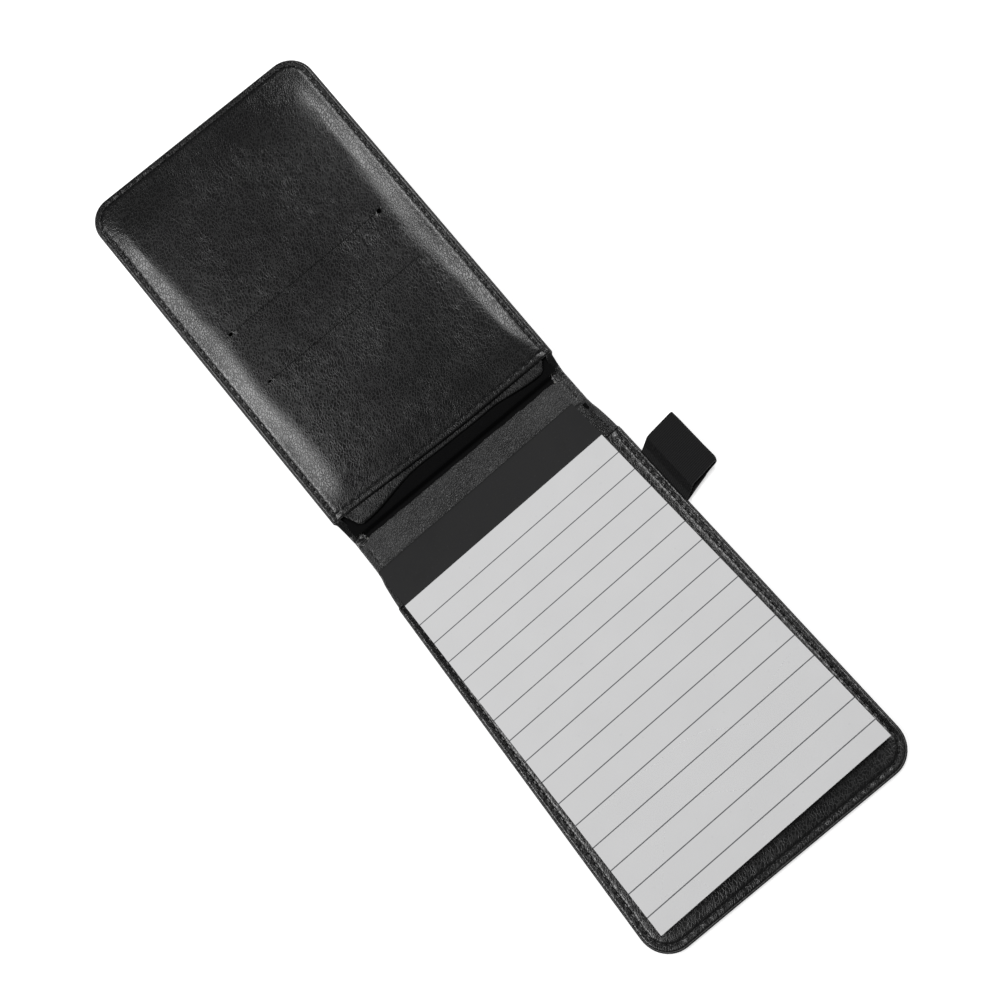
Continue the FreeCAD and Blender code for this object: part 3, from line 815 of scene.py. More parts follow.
class Leaf:
    """One cover leaf: its seam, its layers and the way that it is slightly out of true."""

    seam_start = 1.5 * MM
    rim_width = 2.51 * MM
    gather = 0.62 * MM
    edge_round = 0.5 * MM
    edge_thinning = 0.42 * MM
    panel_edge_drop = 0.16 * MM
    hem_seam = 2.0 * MM
    middle_sink = 0.12 * MM
    ridge_place = 35.0 * MM
    ridge_height = 0.16 * MM
    hem_skew = 2.0 * MM
    far_edge_skew = 2.2 * MM

    def __init__(self, leather, front):
        self.leather = leather
        self.front = front
        self.seam = Seam(leather, self.seam_start)
        self.rim = leather.front_rim if front else BACK_RIM
        self.matrix = FRONT_LEAF if front else BACK_LEAF
        self.panel_start = leather.hem if front else MOUTH
        # The share of the spine's narrowing that comes as a step at the panel's edge.
        self.step = 0.5 if front else 0.3

    def rim_height(self, y):
        """The top of the rim: it thins down to the outer leather at the crease."""
        return self.rim * smooth(0.3 * MM, 6.5 * MM, y)

    def outer_top(self, x, y):
        """The inner side of the outer leather: a flat floor, a rim, and gathers at the crease."""
        distance, _ = self.seam.locate(x, y)
        beside = 1 - smooth(3.7 * MM, 4.8 * MM, distance)
        near_crease = smooth(-9 * MM, -3 * MM, y) * (1 - smooth(3 * MM, 7 * MM, y))
        puckers = 0.75 + 0.9 * folds(x, y, 5 * MM, 1.6 * MM, 23.0)
        gathered = self.gather * beside * near_crease * puckers * self.front
        if distance > self.rim_width:
            return gathered
        height = max(gathered, self.rim_height(y))
        return height - round_over(distance, min(0.45 * MM, height * 0.4 + 0.1 * MM))

    def outer_bottom(self, x, y):
        """The outside: flat over the board, and pulled in along the seam."""
        distance, _ = self.seam.locate(x, y)
        edge = self.edge_thinning * (1 - smooth(0.4 * MM, 5.0 * MM, distance)) * smooth(0, 6 * MM, y)
        dent = self.leather.seam_depth * 0.55 * self.seam.pull(x, y)
        inner = smooth(3 * MM, 12 * MM, distance)
        wave = 0.05 * MM * (1 + unevenness(x, y, 13 * MM, 4.0)) * inner * smooth(0, 9 * MM, y)
        lift = edge + dent + wave + round_over(distance, self.edge_round)
        return -SKIN + lift

    def panel_top(self, x, y):
        """The pocket panel's face."""
        inside, _ = self.seam.locate(x, y)
        distance = max(0.0, inside - self.leather.edge_reveal)
        inside = distance + self.leather.edge_reveal
        height = self.rim + PANEL - self.panel_edge_drop * (1 - smooth(0, 3.2 * MM, distance))
        height -= round_over(distance, self.edge_round)
        height -= self.leather.seam_depth * self.seam.pull(x, y)
        if self.front:
            return height + self.front_crown(x, y, inside)
        height -= round_over(y - self.panel_start, 0.45 * MM)
        under_pad = smooth(2.6 * MM, 3.4 * MM, inside)
        wave = 0.08 * MM * unevenness(x, y, 7 * MM, 2.0) * (1 - under_pad)
        return height + wave - 0.06 * MM * under_pad

    def front_crown(self, x, y, inside):
        """The front panel stands up over the cards' bags, most along its two sides."""
        leather = self.leather
        fold = y - leather.hem
        wide = 0.62 + 0.6 * smooth(15 * MM, 65 * MM, y)
        if x < 0:
            wide = 1.35 - 0.5 * smooth(45 * MM, 110 * MM, y)
        reach = leather.crown_reach * (wide + 0.35 * unevenness(x, y, 21 * MM, 13.0))
        crown = leather.crown * smooth(leather.seam_inset, leather.seam_inset + reach, from_side(x))
        crown *= smooth(1.5 * MM, 14.0 * MM, fold) * smooth(2.2 * MM, 18.0 * MM, COVER_LENGTH - y)
        sunk = self.middle_sink * smooth(14 * MM, 40 * MM, from_side(x))
        wave = 0.055 * MM * unevenness(x, y, 16 * MM, 7.0) + 0.035 * MM * unevenness(x, y, 5 * MM, 3.0)
        wave *= smooth(2.6 * MM, 6 * MM, inside)
        hem_seam = bell(fold - self.hem_seam, 0.45 * MM)
        hem_seam *= 0.6 + 0.4 * math.cos(2 * math.pi * x / leather.stitch_pitch)
        drop = round_over(fold, 0.55 * MM) + 0.7 * leather.seam_depth * hem_seam
        return crown - sunk + wave + self.side_ridge(x, y) - drop

    def side_ridge(self, x, y):
        """The raised crease line that runs down the panel's right side, near the far edge."""
        across = x - self.ridge_place - 0.8 * MM * unevenness(0, y, 9 * MM, 19.0)
        along = smooth(84 * MM, 98 * MM, y) * (1 - smooth(112 * MM, 124 * MM, y))
        return self.ridge_height * bell(across, 0.8 * MM) * along

    def strip_top(self, x, y):
        """The grained strip's face, over the spine where y is below 0 and then over this leaf."""
        over_pocket = smooth(39.3 * MM, 40.6 * MM, abs(x))
        height = 0.9 * MM + 0.88 * MM * smooth(0.0, 1.3 * MM, y)
        if y > 0:
            flap = max(0.9 * MM, self.rim_height(y) + STRIP_THICKNESS)
            height += (flap - height) * over_pocket
        ends = smooth(33 * MM, 39 * MM, abs(x))
        ends *= smooth(-11 * MM, -2 * MM, y) * (1 - smooth(0.5 * MM, 5 * MM, y))
        height += ends * 0.55 * MM * folds(x, y, 4.5 * MM, 2.6 * MM, 5.0)
        height += 0.05 * MM * unevenness(x, y, 6 * MM, 9.0)
        from_free_edge = y - STRIP_FREE_EDGE
        curl = 0.16 * MM * (1 - smooth(0.2 * MM, 1.6 * MM, from_free_edge))
        height += curl * (0.6 + unevenness(x, 0, 5 * MM, 1.0))
        height -= round_over(max(0.0, from_free_edge), 0.25 * MM)
        height -= round_over(max(0.0, STRIP_WIDTH / 2 - abs(x)), 0.3 * MM) * 0.8
        height -= 0.22 * MM * self.seam.pull(x, max(y, self.seam.start + 3 * MM))
        return height

    def true_place(self, x, y):
        """Where a point really lies: narrower by the crease, and slightly askew."""
        slope = smooth(-1.0 * MM, self.panel_start, y) * (1 - self.step)
        step = self.step * smooth(-0.9 * MM, 0.1 * MM, y - self.panel_start)
        x *= 1 - NARROWING * (1 - slope - step)
        if not self.front:
            return x, y
        left = 0.5 - x / COVER_WIDTH
        hem_lag = self.hem_skew * smooth(0.35, 1.05, left) + 0.25 * MM
        y += hem_lag * bell(y - self.leather.hem, 9 * MM) * smooth(1.0 * MM, 5 * MM, y)
        y -= self.far_edge_skew * (1 - left) * smooth(60 * MM, COVER_LENGTH, y)
        return x, y

    def shape(self, bm):
        """Gives flat verts their real places in the leaf, and bends what is past the crease."""
        for vert in bm.verts:
            vert.co.x, vert.co.y = self.true_place(vert.co.x, vert.co.y)
        fold_at_crease(bm)
        bmesh.ops.transform(bm, matrix=self.matrix, verts=bm.verts)


def from_side(x):
    """How far a point is inside the nearer side of the cover."""
    return COVER_WIDTH / 2 - abs(x)


def fold_at_crease(bm, reach=2.0 * MM):
    """Turns what lies below y = 0 up by the fold that the crease has at rest."""
    for vert in bm.verts:
        share = smooth(-reach, reach, -vert.co.y)
        vert.co = Matrix.Rotation(-REST_FOLD * share, 3, "X") @ vert.co


def flat_sheet(width, near, far, height=0.0):
    """A flat rectangle of one face, centred in X, from near to far in Y."""
    bm = bmesh.new()
    bmesh.ops.create_grid(bm, x_segments=1, y_segments=1, size=0.5)
    bmesh.ops.scale(bm, vec=(width, far - near, 1), verts=bm.verts)
    bmesh.ops.translate(bm, vec=(0, (near + far) / 2, height), verts=bm.verts)
    return bm


def round_corners(bm, geom, radius, segments, affect="EDGES"):
    """Rounds edges, or the corners of a flat sheet."""
    bmesh.ops.bevel(
        bm, geom=geom, offset=radius, offset_type="OFFSET", segments=segments, profile=0.5,
        affect=affect, material=-1,
    )


def rounded_sheet(width, near, far, radius):
    """A flat sheet whose two far corners are round."""
    bm = flat_sheet(width, near, far)
    corners = [vert for vert in bm.verts if vert.co.y > (near + far) / 2]
    round_corners(bm, corners, radius, 12, "VERTICES")
    return bm


# How deep inside the edge each ring of faces ends, in millimetres. They are close together where
# the edge is round and where the thread pulls the leather in.
RING_DEPTHS = (
    0.05, 0.13, 0.26, 0.42, 0.7, 1.05, 1.4, 1.7, 1.95, 2.2, 2.45, 2.52, 2.8, 3.2, 3.8, 4.7, 5.8, 7.0,
)
RING_REACH = RING_DEPTHS[-1] * MM


def add_rings(bm, step, first=0.0):
    """Rings of faces along the edge, and the one face left inside them."""
    face = bm.faces[:][0]
    longest_on_arc = 5 * MM
    last = first
    for depth in (millimetres * MM for millimetres in RING_DEPTHS):
        if depth <= first:
            continue
        bmesh.ops.inset_region(
            bm, faces=[face], thickness=depth - last, use_even_offset=True, use_boundary=True,
        )
        last = depth
    bmesh.ops.delete(bm, geom=[face], context="FACES_ONLY")
    for axis in (0, 1):
        long_edges = [
            edge
            for edge in bm.edges
            if abs(edge.verts[0].co[axis] - edge.verts[1].co[axis]) > longest_on_arc
        ]
        longest = max(edge.calc_length() for edge in long_edges)
        bmesh.ops.subdivide_edges(
            bm, edges=long_edges, cuts=int(longest / step), use_grid_fill=True,
        )
    near, far = min(v.co.y for v in bm.verts), max(v.co.y for v in bm.verts)
    half = COVER_WIDTH / 2 - first - 5 * MM
    gap = [
        edge
        for edge in bm.edges
        if edge.is_boundary
        and all(near + step < v.co.y < far - step and abs(v.co.x) < half for v in edge.verts)
    ]
    return bmesh.ops.contextual_create(bm, geom=gap)["faces"][0]


def cut_lines(bm, geom, places, axis):
    """Cuts geometry along lines at the given places across an axis."""
    normal = Vector((0, 0, 0))
    normal[axis] = 1
    for place in places:
        cut = bmesh.ops.bisect_plane(
            bm, geom=geom, dist=WELD, plane_co=normal * place, plane_no=normal,
        )
        geom = cut["geom"]
    return geom


def steps(low, high, step):
    """Evenly spaced places from low to high."""
    count = max(1, round((high - low) / step))
    return [low + (high - low) * index / count for index in range(count + 1)]


def all_geometry(bm):
    """Everything in a bmesh."""
    return bm.verts[:] + bm.edges[:] + bm.faces[:]


def divide(bm, low, high, step, axis):
    """Cuts a whole mesh into even lengths between two ends."""
    cut_lines(bm, all_geometry(bm), steps(low, high, step)[1:-1], axis)


def new_verts(made):
    """The vertices that an extrusion has made."""
    return [item for item in made["geom"] if isinstance(item, bmesh.types.BMVert)]


def close_sheet(bm, top, bottom):
    """Makes a flat sheet a closed solid between two heights, each a function of x and y."""
    low = list(bm.verts)
    high = new_verts(bmesh.ops.extrude_face_region(bm, geom=all_geometry(bm)))
    for vert in low:
        vert.co.z = bottom(vert.co.x, vert.co.y)
    for vert in high:
        vert.co.z = top(vert.co.x, vert.co.y)


def finish_piece(name, bm, material, edge=None, sharp=50.0):
    """A finished object: smooth shading, sharp edges, and its place at rest as an attribute."""
    bmesh.ops.recalc_face_normals(bm, faces=bm.faces)
    for face in bm.faces:
        face.smooth = True
    for line in bm.edges:
        if len(line.link_faces) == 2 and line.calc_face_angle() > math.radians(sharp):
            line.smooth = False
    mesh = bpy.data.meshes.new(name)
    bm.to_mesh(mesh)
    bm.free()
    rest = mesh.attributes.new("rest", "FLOAT_VECTOR", "POINT")
    rest.data.foreach_set("vector", [value for vert in mesh.vertices for value in vert.co])
    # The edge attribute lightens the leather near its edges: partly wear, partly a painted highlight.
    if edge is not None:
        worn_and_highlit = mesh.attributes.new("edge", "FLOAT", "POINT")
        worn_and_highlit.data.foreach_set("value", edge)
    mesh.materials.append(material)
    piece = bpy.data.objects.new(name, mesh)
    bpy.context.scene.collection.objects.link(piece)
    return piece


def edge_values(bm, leaf):
    """How near each vertex is to the cover's edge, from 1 at the edge to 0: where the leather is
    lightened as wear and as a painted highlight.
    """
    values = []
    for vert in bm.verts:
        distance, _ = leaf.seam.locate(vert.co.x, vert.co.y)
        if vert.co.y <= 0:
            distance = from_side(vert.co.x)
        values.append(bell(max(0.0, distance), 0.7 * MM))
    return values


def shared_material(make, name):
    """A material made once and used by every piece that needs it."""
    return bpy.data.materials.get(name) or make()


# ---------------------------------------------------------------- the operators


class NOTEBOOK_OT_outer_leather(bpy.types.Operator):
    """Build the outer leather of both covers, from the middle of the spine to their far edges"""

    bl_idname = "notebook.outer_leather"
    bl_label = "Outer leather"

    grid = 3 * MM
    floor_half = 36 * MM
    spare = 12 * MM

    def build(self, name, leaf):
        """One half of the outer leather, closed, with its rim."""
        half_spine = SPINE_LENGTH / 2
        bm = rounded_sheet(
            COVER_WIDTH, -half_spine - self.spare, COVER_LENGTH, leaf.leather.corner_radius,
        )
        inner = add_rings(bm, 0.6 * MM)
        geom = [inner, *inner.edges, *inner.verts]
        geom = cut_lines(bm, geom, steps(-self.floor_half, self.floor_half, self.grid), 0)
        cut_lines(bm, geom, steps(self.grid, COVER_LENGTH - RING_REACH, self.grid), 1)
        cut_lines(bm, all_geometry(bm), steps(-4.5 * MM, 2.5 * MM, 0.5 * MM), 1)
        bmesh.ops.bisect_plane(
            bm, geom=all_geometry(bm), dist=WELD, plane_co=(0, -half_spine, 0),
            plane_no=(0, 1, 0), clear_inner=True,
        )
        close_sheet(bm, leaf.outer_top, leaf.outer_bottom)
        edge = edge_values(bm, leaf)
        leaf.shape(bm)
        return finish_piece(name, bm, shared_material(cover_leather, "cover_leather_rest"), edge)

    def execute(self, context):
        leather = context.scene.notebook_leather
        back = self.build("back_cover_leather", Leaf(leather, False))
        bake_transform(back)
        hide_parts("back_outer_skin")
        front = self.build("front_cover_leather", Leaf(leather, True))
        start, end = FRONT_CREASE - INTO_SPINE, FRONT_CREASE + INTO_FRONT
        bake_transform(front)
        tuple(start)
        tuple(end)
        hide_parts("front_outer_skin", "spine_outer_skin")
        return {"FINISHED"}


class NOTEBOOK_OT_pocket_panels(bpy.types.Operator):
    """Build the stitched pocket panels, the card slits and the layer behind the hem"""

    bl_idname = "notebook.pocket_panels"
    bl_label = "Pocket panels"

    slit_places = (55.2 * MM, 74.6 * MM)
    slit_half = 29.7 * MM
    slit_width = 0.24 * MM
    hole_radius = 0.9 * MM
    hole_patch = 1.2 * MM
    lip_half = 38.4 * MM
    lip_bottom, lip_top = 1.52 * MM, 1.95 * MM
    lip_depths = (0.06, 0.16, 0.3, 0.5, 0.8, 1.2, 1.7, 2.3, 3.0, 4.0, 5.5, 8.0)

    def panel_sheet(self, leaf, grid):
        """The flat outline of a pocket panel with its rings and grid."""
        reveal = leaf.leather.edge_reveal
        far = COVER_LENGTH - reveal
        radius = leaf.leather.corner_radius - reveal
        bm = rounded_sheet(COVER_WIDTH - 2 * reveal, leaf.panel_start, far, radius)
        inner = add_rings(bm, 0.55 * MM, reveal)
        geom = [inner, *inner.edges, *inner.verts]
        geom = cut_lines(bm, geom, steps(-35 * MM, 35 * MM, grid), 0)
        rows = steps(leaf.panel_start + RING_REACH, far - RING_REACH, grid)
        geom = cut_lines(bm, geom, rows, 1)
        return bm, geom

    def cut_slits(self, bm, geom):
        """Two straight slits that end in round holes."""
        patch, half, width = self.hole_patch, self.slit_half, self.slit_width / 2
        for side in (-half, half):
            geom = cut_lines(bm, geom, (side - patch, side + patch), 0)
        for place in self.slit_places:
            geom = cut_lines(bm, geom, (place - patch, place - width, place + width, place + patch), 1)
        gone = []
        patches = []
        for face in bm.faces:
            centre = face.calc_center_median()
            for place in self.slit_places:
                if abs(centre.y - place) < width and abs(centre.x) < half - patch:
                    gone.append(face)
                for side in (-half, half):
                    if abs(centre.y - place) < patch and abs(centre.x - side) < patch:
                        patches.append((face, (side, place)))
        bmesh.ops.delete(bm, geom=gone + [face for face, _ in patches], context="FACES")
        for hole in sorted({where for _, where in patches}):
            self.add_hole(bm, Vector((*hole, 0)))

    def add_hole(self, bm, centre):
        """A round hole joined to the square gap left for it."""
        reach = self.hole_patch + TOLERANCE
        around = [
            edge
            for edge in bm.edges
            if edge.is_boundary
            and all(max(abs(v.co.x - centre.x), abs(v.co.y - centre.y)) < reach for v in edge.verts)
        ]
        ring = bmesh.ops.create_circle(
            bm, segments=28, radius=self.hole_radius, matrix=Matrix.Translation(centre),
        )
        circle = list({edge for vert in ring["verts"] for edge in vert.link_edges})
        bmesh.ops.bridge_loops(bm, edges=around + circle)

    def execute(self, context):
        leather = context.scene.notebook_leather
        material = shared_material(cover_leather, "cover_leather_rest")

        leaf = Leaf(leather, False)
        bm, _ = self.panel_sheet(leaf, 3 * MM)
        close_sheet(bm, leaf.panel_top, lambda x, y: leaf.rim)
        edge = edge_values(bm, leaf)
        leaf.shape(bm)
        back = finish_piece("back_pocket_leather", bm, material, edge)
        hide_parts("back_pocket_panel")

        leaf = Leaf(leather, True)
        bm, geom = self.panel_sheet(leaf, 1.5 * MM)
        self.cut_slits(bm, geom)
        close_sheet(bm, self.slit_lips(leaf), lambda x, y: leaf.rim)
        edge = edge_values(bm, leaf)
        leaf.shape(bm)
        front = finish_piece("front_pocket_leather", bm, material, edge)
        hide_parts("front_pocket_panel")

        lip = self.build_lip(leaf, material)
        for piece, body in ((back, "back_cover"), (front, "front_cover"), (lip, "front_cover")):
            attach(piece, body)
        return {"FINISHED"}

    def slit_lips(self, leaf):
        """The panel's face with the leather slightly raised below each slit and at each hole."""
        def top(x, y):
            height = leaf.panel_top(x, y)
            for place in self.slit_places:
                inside = 1 - smooth(self.slit_half - 2 * MM, self.slit_half + 2.5 * MM, abs(x))
                below = smooth(place - 5 * MM, place - 0.3 * MM, y) * (y < place)
                above = bell(y - place, 1.2 * MM) * (y >= place)
                height += inside * (0.09 * MM * below - 0.07 * MM * above)
            return height
        return top

    def build_lip(self, leaf, material):
        """The second leather layer, whose folded edge bulges out below the hem."""
        start, half = leaf.leather.lip, self.lip_half
        bm = flat_sheet(2 * half, start, COVER_LENGTH - 10 * MM)
        divide(bm, -half, half, 1.2 * MM, 0)
        cut_lines(bm, all_geometry(bm), [start + depth * MM for depth in self.lip_depths], 1)

        def bulge(x, y):
            left = smooth(9 * MM, 34 * MM, -x)
            right = 0.75 * smooth(17 * MM, 34 * MM, x)
            wave = 0.05 * (1 + unevenness(x, 0, 9 * MM, 11.0))
            return (left + right + wave) * (1 - smooth(1.0 * MM, 4.0 * MM, y - start))

        def top(x, y):
            return self.lip_top + 0.5 * MM * bulge(x, y) - round_over(y - start, 0.4 * MM)

        def bottom(x, y):
            edge = y - start
            folded = 0.042 * MM * (1 - smooth(2.0 * MM, 2.6 * MM, edge))
            return self.lip_bottom - folded + 0.3 * MM * bulge(x, y) + round_over(edge, 0.36 * MM)

        close_sheet(bm, top, bottom)
        for vert in bm.verts:
            droop = 2.4 * MM * bulge(vert.co.x, vert.co.y)
            corner = round_over(half - abs(vert.co.x), 3 * MM)
            vert.co.y -= (droop - corner) * (1 - smooth(0, 5 * MM, vert.co.y - start))
        # The folded edge is lightened as wear and as a painted highlight along it.
        edge = [bell(vert.co.y - start, 0.8 * MM) for vert in bm.verts]
        leaf.shape(bm)
        lip = finish_piece("pocket_lip", bm, material, edge)
        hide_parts("pocket_backing")
        return lip


class NOTEBOOK_OT_spine_strip(bpy.types.Operator):
    """Build the grained strip over the spine with its flaps beside the pad's head"""

    bl_idname = "notebook.spine_strip"
    bl_label = "Spine strip"

    flap_inner = (-37.3 * MM, 40.0 * MM)
    middle_end = 10.9 * MM
    side_depths = (0.1, 0.25, 0.5, 0.9, 1.3, 1.7, 2.1, 2.5)

    def outline(self, near, far):
        """The flat strip, notched where the pad's head goes."""
        half = STRIP_WIDTH / 2
        bm = flat_sheet(STRIP_WIDTH, near, far)
        across = steps(-half + 2.8 * MM, half - 2.8 * MM, 0.8 * MM)
        across += [sign * (half - depth * MM) for depth in self.side_depths for sign in (-1, 1)]
        cut_lines(bm, all_geometry(bm), sorted([*across, *self.flap_inner]), 0)
        along = [near + 0.1 * MM, near + 0.25 * MM, *steps(near + 0.5 * MM, far - 0.5 * MM, 0.55 * MM)]
        cut_lines(bm, all_geometry(bm), sorted([*along, self.middle_end]), 1)
        gone = []
        for face in bm.faces:
            centre = face.calc_center_median()
            if centre.y > self.middle_end and self.flap_inner[0] < centre.x < self.flap_inner[1]:
                gone.append(face)
        bmesh.ops.delete(bm, geom=gone, context="FACES")
        return bm

    def execute(self, context):
        leaf = Leaf(context.scene.notebook_leather, False)
        near, far = STRIP_FREE_EDGE, MOUTH - 0.15 * MM
        bm = self.outline(near, far)
        close_sheet(bm, leaf.strip_top, lambda x, y: leaf.strip_top(x, y) - STRIP_THICKNESS)
        for vert in bm.verts:
            tail = 1 - smooth(near, near + 4 * MM, vert.co.y)
            ragged = 0.5 * MM * unevenness(vert.co.x, 0, 8 * MM, 21.0)
            ragged += 0.22 * MM * unevenness(vert.co.x, 0, 2.2 * MM, 8.0)
            corner = 1.1 * MM * smooth(36 * MM, 41 * MM, abs(vert.co.x))
            vert.co.y += (ragged + corner) * tail
        # The strip's sides are lightened a little as wear and as a painted highlight.
        edge = [0.3 * bell(STRIP_WIDTH / 2 - abs(vert.co.x), 0.6 * MM) for vert in bm.verts]
        leaf.shape(bm)
        material = shared_material(grained_leather, "grained_leather_rest")
        strip = finish_piece("spine_strip", bm, material, edge)
        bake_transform(strip)
        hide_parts("spine_facing", "head_facing")
        return {"FINISHED"}


class NOTEBOOK_OT_crease_lining(bpy.types.Operator):
    """Build the satin lining that crosses the front crease"""

    bl_idname = "notebook.crease_lining"
    bl_label = "Crease lining"

    thickness = 0.15 * MM
    gathered_end = 4.5 * MM
    under_strip = 1.0 * MM
    under_hem = 6.0 * MM

    def execute(self, context):
        leaf = Leaf(context.scene.notebook_leather, True)
        half = COVER_WIDTH / 2 - self.gathered_end
        near, far = self.under_strip - SPINE_LENGTH, self.under_hem
        bm = flat_sheet(2 * half, near, far)
        divide(bm, -half, half, 2 * MM, 0)
        divide(bm, near, far, 0.5 * MM, 1)

        def top(x, y):
            ruck = 0.05 * MM * unevenness(x, y, 5 * MM, 6.0)
            return 0.5 * MM + 1.0 * MM * smooth(0.2 * MM, 1.1 * MM, y) + ruck

        close_sheet(bm, top, lambda x, y: top(x, y) - self.thickness)
        leaf.shape(bm)
        lining = finish_piece("crease_lining", bm, satin_lining("rest"))
        start, end = FRONT_CREASE - INTO_SPINE, FRONT_CREASE + INTO_FRONT
        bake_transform(lining)
        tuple(start)
        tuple(end)
        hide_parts("spine_lining")
        return {"FINISHED"}


class NOTEBOOK_OT_stitching(bpy.types.Operator):
    """Sew the seams: separate stitches on the inner and the outer side of each leaf"""

    bl_idname = "notebook.stitching"
    bl_label = "Stitching"

    rings = 7
    twist = 2.6
    spine_stitch_rows = 2

    def stitch_mesh(self, leather):
        """One stitch along +Y: a twisted thread that dives into its two holes."""
        bm = bmesh.new()
        half = leather.stitch_length / 2
        made = bmesh.ops.create_circle(bm, cap_ends=True, segments=6, radius=leather.thread / 2)
        upright = Matrix.Rotation(math.pi / 2, 4, "X")
        bmesh.ops.transform(bm, matrix=upright, verts=made["verts"])
        bmesh.ops.translate(bm, vec=(0, -half, 0), verts=made["verts"])
        tip = bm.faces[:][0]
        for _ in range(self.rings):
            tip = bmesh.ops.extrude_discrete_faces(bm, faces=[tip])["faces"][0]
            bmesh.ops.translate(bm, vec=(0, 2 * half / self.rings, 0), verts=tip.verts)
        bmesh.ops.remove_doubles(bm, verts=bm.verts, dist=WELD)
        for vert in bm.verts:
            share = vert.co.y / half
            centre = leather.thread * (0.30 - 0.75 * share ** 4)
            turned = Matrix.Rotation(self.twist * share, 3, "Y")
            flat = turned @ Vector((vert.co.x * 1.12, 0, vert.co.z * 0.8))
            slim = 1 - 0.45 * share ** 4
            vert.co.x, vert.co.z = flat.x * slim, flat.z * slim + centre
        bmesh.ops.recalc_face_normals(bm, faces=bm.faces)
        mesh = bpy.data.meshes.new("one_stitch")
        bm.to_mesh(mesh)
        bm.free()
        return mesh

    def sew(self, bm, stitch, places, height, outside=False):
        """Adds a stitch at each place. The thread lies on the surface that height gives."""
        for place, heading in places:
            first = len(bm.verts)
            bm.from_mesh(stitch)
            bm.verts.ensure_lookup_table()
            turn = Matrix.Rotation(math.atan2(-heading.x, heading.y), 4, "Z")
            if outside:
                turn = turn @ Matrix.Rotation(math.pi, 4, "Y")
            at = Matrix.Translation((place.x, place.y, height(place.x, place.y)))
            bmesh.ops.transform(bm, matrix=at @ turn, verts=bm.verts[first:])

    def add_piece(self, name, bm, leaf, body, *replaced):
        """Puts a seam's stitches in the leaf and gives them their body."""
        leaf.shape(bm)
        piece = finish_piece(name, bm, shared_material(thread_material, "sewing_thread_rest"))
        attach(piece, body)
        if replaced:
            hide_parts(*replaced)

    def seam_places(self, seam):
        """The middle and direction of every stitch of a leaf's seam, but for those at the crease."""
        found = [seam.point((index + 0.5) * seam.pitch) for index in range(seam.count)]
        return [(place, heading) for place, heading in found if place.y > 3.2 * MM]

    def sew_leaf(self, leaf, stitch, side):
        """The seam round a leaf, seen on its inner and its outer side."""
        def surface(x, y):
            if y > leaf.panel_start + 0.6 * MM:
                return leaf.panel_top(x, y)
            return leaf.rim_height(y) if leaf.front else leaf.strip_top(x, y)

        places = self.seam_places(leaf.seam)
        bm = bmesh.new()
        self.sew(bm, stitch, places, surface)
        self.add_piece(f"{side}_seam_stitches", bm, leaf, f"{side}_cover", f"{side}_edge_stitching")
        bm = bmesh.new()
        self.sew(bm, stitch, places, leaf.outer_bottom, outside=True)
        self.add_piece(f"{side}_outer_stitches", bm, leaf, f"{side}_cover")

    def execute(self, context):
        leather = context.scene.notebook_leather
        pitch = leather.stitch_pitch
        stitch = self.stitch_mesh(leather)
        back, front = Leaf(leather, False), Leaf(leather, True)
        self.sew_leaf(back, stitch, "back")
        self.sew_leaf(front, stitch, "front")

        bm = bmesh.new()
        line = leather.hem + front.hem_seam
        reach = round(COVER_WIDTH / 2 / pitch) - 2
        places = [
            (Vector(((index + 0.5) * pitch, line)), Vector((1, 0))) for index in range(-reach, reach)
        ]
        self.sew(bm, stitch, places, front.panel_top)
        self.add_piece("hem_stitches", bm, front, "front_cover", "hem_stitching")

        bm = bmesh.new()
        side = COVER_WIDTH / 2 - leather.seam_inset
        places = [
            (Vector((sign * side, -(index + 1) * pitch)), Vector((0, 1)))
            for index in range(self.spine_stitch_rows)
            for sign in (-1, 1)
        ]
        self.sew(bm, stitch, places, back.strip_top)
        self.sew(bm, stitch, places, lambda x, y: -SKIN, outside=True)
        self.add_piece("spine_stitches", bm, back, "spine", "spine_edge_stitching")
        bpy.data.meshes.remove(stitch)
        return {"FINISHED"}


